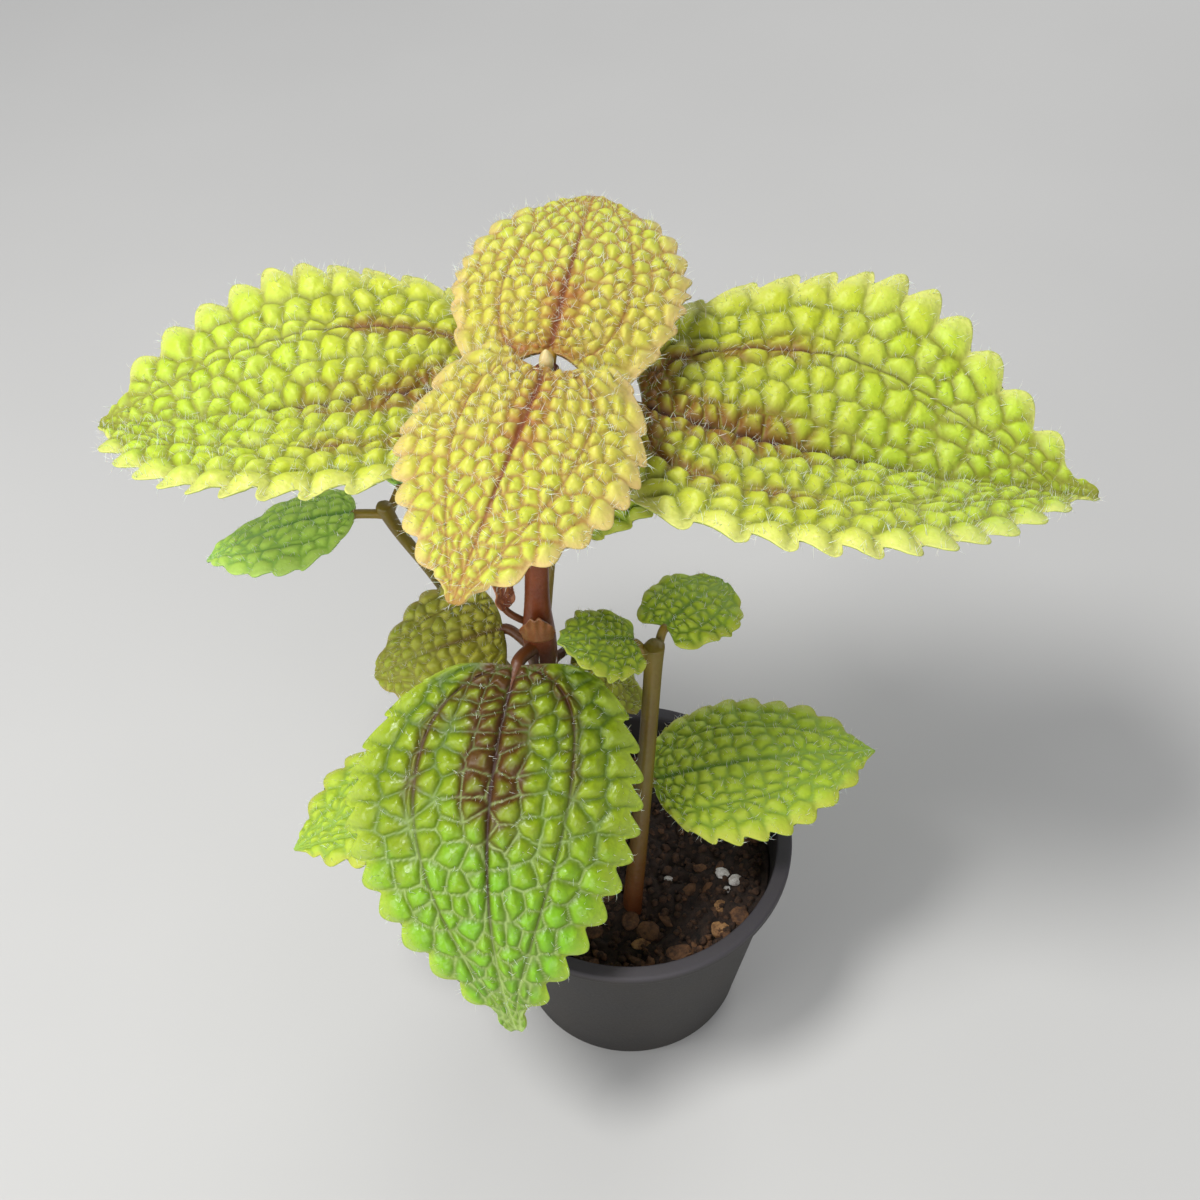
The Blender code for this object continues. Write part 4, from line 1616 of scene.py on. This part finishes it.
STEMS = (
    ("main_stem", MAIN_STEM, RED_STEM, ()),
    ("right_stem", RIGHT_STEM, OLIVE_STEM, ()),
    ("left_branch", LEFT_BRANCH, OLIVE_STEM, ((-10.9, 4.3, 68.2, 1.6),)),
)


@dataclass
class Stems:
    """The three stems, each run on into what it grows from, with a rounded end.

    The end's steps are millimetres beyond the stem's last point and shares of its radius.
    """

    sweeps: StemTool
    end: tuple[tuple[float, float], ...] = ((0.35, 0.8), (0.5, 0.4))
    steps: int = 10
    sides: int = 24
    flute: float = 0.035

    def build(self) -> None:
        """Makes the stems."""
        for name, points, finish, root in STEMS:
            path = smooth_path((*root, *points), self.steps)
            x, y, z, radius = path[-1]
            path += [[x, y, z + rise, radius * share] for rise, share in self.end]
            scaled = [[v * MM for v in row] for row in path]
            mesh = self.sweeps.sweep(scaled, self.sides, self.flute, finish)
            publish(f"{name}_skin", mesh, finish, name)


BUD_PROFILE = ((0, 0), (0.75, 0.02), (0.92, 0.12), (1.0, 0.25), (0.98, 0.4), (0.86, 0.56),
               (0.66, 0.7), (0.42, 0.84), (0.2, 0.95), (0, 1.0))


@dataclass
class Crown:
    """The growing tip and the papery sheath at the middle leaf joint."""

    bud_radius: float = 1.3
    bud_height: float = 3.4
    bud_lift: float = 0.39
    seam: float = 0.16
    sheath_bottom: float = 94.8
    sheath_height: float = 6.5
    sheath_thickness: float = 0.35
    sheath_gap: float = 0.6
    sheath_flare: float = 0.6
    sheath_middle: float = -92.0
    sheath_span: float = 96.0

    def build(self) -> None:
        """Makes both."""
        self.bud()
        self.sheath()

    def bud(self) -> None:
        """Two glossy scales that close round the tip."""
        x, y, z, _ = MAIN_STEM[-1]
        bm = turned([(self.bud_radius * MM * r, self.bud_height * MM * h) for r, h in BUD_PROFILE],
                    32)
        for vert in bm.verts:
            turn = math.atan2(vert.co.y, vert.co.x)
            squeeze = 1 - self.seam * abs(math.cos(turn)) ** 8
            vert.co.x *= squeeze
            vert.co.y *= squeeze
            vert.co += Vector((x, y, z + self.bud_lift)) * MM
        mesh = into_mesh(bm, "bud")
        mesh.shade_smooth()
        publish("crown_bud_scales", mesh, BUD_SKIN, "crown_bud")

    def sheath(self) -> None:
        """A thin flaring strip with a wavy crest."""
        x, y, _, radius = next(p for p in smooth_path(MAIN_STEM, 8) if p[2] > self.sheath_bottom)
        rise, turn = np.meshgrid(np.linspace(0, 1, 17), np.linspace(0, 1, 41), indexing="ij")
        angle = np.radians(self.sheath_middle + self.sheath_span * (turn - 0.5))
        crest = 1 - (2 * turn - 1) ** 2
        grids = []
        for layer in (self.sheath_thickness, 0.0):
            wave = 0.2 * np.sin(turn * 31) * rise * rise
            reach = radius + self.sheath_gap + layer + self.sheath_flare * rise * rise + wave
            tall = self.sheath_bottom + self.sheath_height * rise * (0.3 + 0.7 * crest)
            tall = tall + 0.25 * np.sin(turn * 23) * rise
            grids.append(np.stack((x + reach * np.cos(angle), y + reach * np.sin(angle), tall), -1))
        publish("node_sheath_skin", sheet_mesh("sheath", *grids), SHEATH_SKIN, "node_sheath")


def leaves() -> tuple[Leaf, ...]:
    """Lists every leaf, from the crown down.

    Returns:
        The leaves.
    """
    small = {"columns": 64, "rows": 80, "cells": 4, "hair_length": 1.0, "stain": 0.25,
             "thickness": 0.5}
    mid = {"columns": 96, "rows": 116, "cells": 5, "hair_length": 1.2, "stain": 0.3}
    return (
        Leaf("leaf_crown_right", MAIN_STEM, 138.5, (3.2, 16.8, 136.0), (74.3, 10.5, 120.0), 55, 13,
             1.4, 2.6, LIME, arch=-14, fold=30, roll=3, droop=0.04, bow=0.6, lobe=6, widest=0.43,
             tip_power=1.5, stalk=1.3, seed=11, end_lobe=2.0, stain=0.85, side_stain=0.85),
        Leaf("leaf_crown_left", MAIN_STEM, 138.5, (-21.4, 21.5, 138.0), (-83.7, 28.6, 125.0), 49,
             12, 1.4, 2.6, LIME, arch=8, fold=21, droop=0.04, bow=-3, lobe=6, widest=0.43,
             stalk=1.3, seed=12, end_lobe=2.0, stain=0.85, side_stain=0.85),
        Leaf("leaf_crown_front", MAIN_STEM, 143.0, (-10.9, 12.8, 147.4), (-24.2, -22.0, 136.0), 34,
             10, 1.0, 1.4, YOUNG, arch=48, bow=-1.2, lobe=6.5, widest=0.36, seed=13, hairs=1.6,
             cells=7, columns=140, rows=170, end_lobe=1.8),
        Leaf("leaf_crown_back", MAIN_STEM, 143.0, (-10.3, 17.8, 146.4), (-3.0, 51.3, 150.0), 35,
             10, 1.0, 1.1, YOUNG, arch=24, lobe=7, widest=0.46, tip_power=0.7, seed=14,
             hairs=1.4, cells=7, columns=140, rows=170),
        Leaf("leaf_mid_front", MAIN_STEM, 92.6, (-17.9, 1.6, 94.2), (-20.3, -38.8, 45.0), 46, 13,
             1.5, 2.3, GREEN, BROWN_STALK, arch=44, droop=0.3, bow=4.4, lobe=2.5, widest=0.38,
             base_power=0.5, tip_power=1.35, stalk=1.15, seed=15, columns=180, rows=220,
             stain=1.5, end_lobe=2.4, hairs=0.5, hair_length=1.2, cells=5, rows_a_tooth=1.3,
             peak=0.12),
        Leaf("leaf_mid_back", MAIN_STEM, 93.0, (-10.0, 21.8, 108.4), (13.6, 40.0, 112.6), 20, 8,
             0.9, 1.0, SHOOT, GREEN_STALK, arch=30, lobe=2, stalk=0.95, seed=16, **mid),
        Leaf("leaf_shoot_left", MAIN_STEM, 88.5, (-20.6, 13.5, 89.5), (-44.3, 14.6, 76.0), 23, 7,
             0.9, 0.8, OLIVE_LEAF_PAINTED_LIGHT, BROWN_STALK, arch=40, droop=0.3, roll=-28, stalk=0.9, seed=17,
             **mid),
        Leaf("leaf_shoot_right", MAIN_STEM, 86.0, (-8.5, 12.0, 85.5), (3.0, 8.5, 72.5), 14, 5,
             0.8, 0.8, OLIVE_LEAF_PAINTED_LIGHT, BROWN_STALK, arch=30, droop=0.3, stalk=0.8, seed=18, **small),
        Leaf("young_leaf", MAIN_STEM, 96.0, (-19.4, 9.4, 99.0), (-21.6, 11.6, 110.0), 4, 3, 0.2,
             0.2, BLUSH, BROWN_STALK, fold=25, droop=0, stalk=0.6, seed=19, columns=24, rows=40,
             cells=2, hair_length=0.7, thickness=0.4),
        Leaf("leaf_low_right", MAIN_STEM, 60.0, (4.3, 2.0, 60.0), (45.1, 7.1, 60.0), 29, 9, 0.8,
             1.5, SHOOT, GREEN_STALK, arch=24, fold=4, seed=20, **mid),
        Leaf("leaf_low_left", MAIN_STEM, 60.0, (-27.0, 5.0, 65.0), (-60.0, -6.6, 54.0), 25, 8, 1.0,
             1.6, SHOOT, GREEN_STALK, arch=24, fold=4, seed=21, **mid),
        Leaf("leaf_side_right", RIGHT_STEM, 90.0, (6.6, 9.2, 93.8), (17.6, 20.6, 91.6), 16.5, 6,
             0.5, 0.5, SHOOT, GREEN_STALK, arch=30, lobe=2.4, widest=0.5, tip_power=0.6,
             stalk=0.8, seed=22, **small),
        Leaf("leaf_side_left", RIGHT_STEM, 91.0, (1.6, 6.0, 94.2), (-11.2, 3.0, 97.6), 15, 6, 0.5,
             0.7, SHOOT, GREEN_STALK, arch=30, lobe=2, stalk=0.8, seed=23, **small),
        Leaf("leaf_branch_left", LEFT_BRANCH, 101.5, (-45.4, 29.6, 102.5), (-72.5, 28.0, 93.0), 21,
             6, 0.5, 0.8, PALE_LEAF_PAINTED_LIGHT, GREEN_STALK, arch=30, roll=10, stalk=0.8, seed=24, **small),
        Leaf("leaf_branch_back", LEFT_BRANCH, 101.5, (-38.0, 34.4, 103.5), (-32.0, 47.0, 103.0),
             11, 5, 0.5, 0.8, PALE_LEAF_PAINTED_LIGHT, GREEN_STALK, arch=30, stalk=0.8, seed=25, **small),
    )


@dataclass(frozen=True)
class Lamp:
    """A round soft lamp: its place and size in metres, and its power in watts."""

    name: str
    place: tuple[float, float, float]
    size: float
    power: float


LAMPS = (
    Lamp("key_light", (-0.28, -0.12, 0.72), 0.2, 4.0),
    Lamp("fill_light", (0.1, -0.62, 0.25), 0.5, 1.8),
    Lamp("side_light", (-0.5, -0.3, 0.24), 0.4, 1.6),
    Lamp("back_light", (0.3, 0.6, 0.5), 0.5, 1.6),
)


@dataclass
class Studio:
    """A plain pale floor, soft light and the camera. Lengths are in metres, angles in radians."""

    floor_size: float = 3.0
    aim: tuple[float, float, float] = (0.0, 0.0, 0.09)
    room: tuple[float, float, float, float] = (0.9, 0.93, 1.0, 1.0)
    room_strength: float = 0.36
    pitch: float = 0.8480537963311321
    roll: float = 0.03022796317270125
    lens: float = 51.0
    place: tuple[float, float, float] = (-0.0039988, -0.1747585, 0.3094145)

    def build(self) -> None:
        """Sets the stage."""
        self.floor()
        self.lights()
        self.camera()

    def floor(self) -> None:
        """A wide pale floor."""
        bm = bmesh.new()
        bmesh.ops.create_grid(bm, x_segments=8, y_segments=8, size=self.floor_size)
        mesh = into_mesh(bm, "floor")
        made, bench = new_material("floor_paper", {"Roughness": 0.9})
        pale = bench.mix(bench.speckle(12.0), srgb(188, 187, 184), srgb(194, 193, 190))
        wire(bench, {"Base Color": pale})
        mesh.materials.append(made)
        put_in("floor", mesh)

    def lights(self) -> None:
        """A soft light above, low ones in front, at the left and behind, and a pale room."""
        for lamp in LAMPS:
            data = bpy.data.lights.new(lamp.name, "AREA")
            data.shape = "DISK"
            data.size = lamp.size
            data.energy = lamp.power
            light = put_in(lamp.name, data)
            light.location = lamp.place
            aim = Vector(self.aim) - Vector(lamp.place)
            light.rotation_euler = aim.to_track_quat("-Z", "Y").to_euler()
        world = bpy.data.worlds.new("room")
        world.use_nodes = True
        background = world.node_tree.nodes["Background"]
        background.inputs["Color"].default_value = self.room
        background.inputs["Strength"].default_value = self.room_strength
        bpy.context.scene.world = world
        bpy.context.scene.view_settings.view_transform = "Standard"

    def camera(self) -> None:
        """The camera, above and in front, looking down at the leaves."""
        data = bpy.data.cameras.new("camera")
        data.lens = self.lens
        data.sensor_width = 36.0
        data.clip_start = 0.01
        cos_p, sin_p = math.cos(self.pitch), math.sin(self.pitch)
        cos_r, sin_r = math.cos(self.roll), math.sin(self.roll)
        right, up = Vector((1, 0, 0)), Vector((0, sin_p, cos_p))
        ahead = Vector((0, cos_p, -sin_p))
        across = right * cos_r - up * sin_r
        upward = right * sin_r + up * cos_r
        matrix = Matrix((across, upward, -ahead)).transposed().to_4x4()
        matrix.translation = Vector(self.place)
        camera = put_in("camera", data)
        camera.matrix_world = matrix
        bpy.context.scene.camera = camera


def main() -> None:
    """Builds the plant, its pot and the studio."""
    logging.basicConfig(level=logging.INFO, format="%(message)s")
    sweeps, hairs, scatter = StemTool(), HairTool(), CrumbTool()
    Pot().build()
    Soil().build(scatter)
    Stems(sweeps).build()
    Crown().build()
    for leaf in leaves():
        leaf.build(sweeps, hairs)
    Studio().build()
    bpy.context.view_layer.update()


if __name__ == "__main__":
    main()
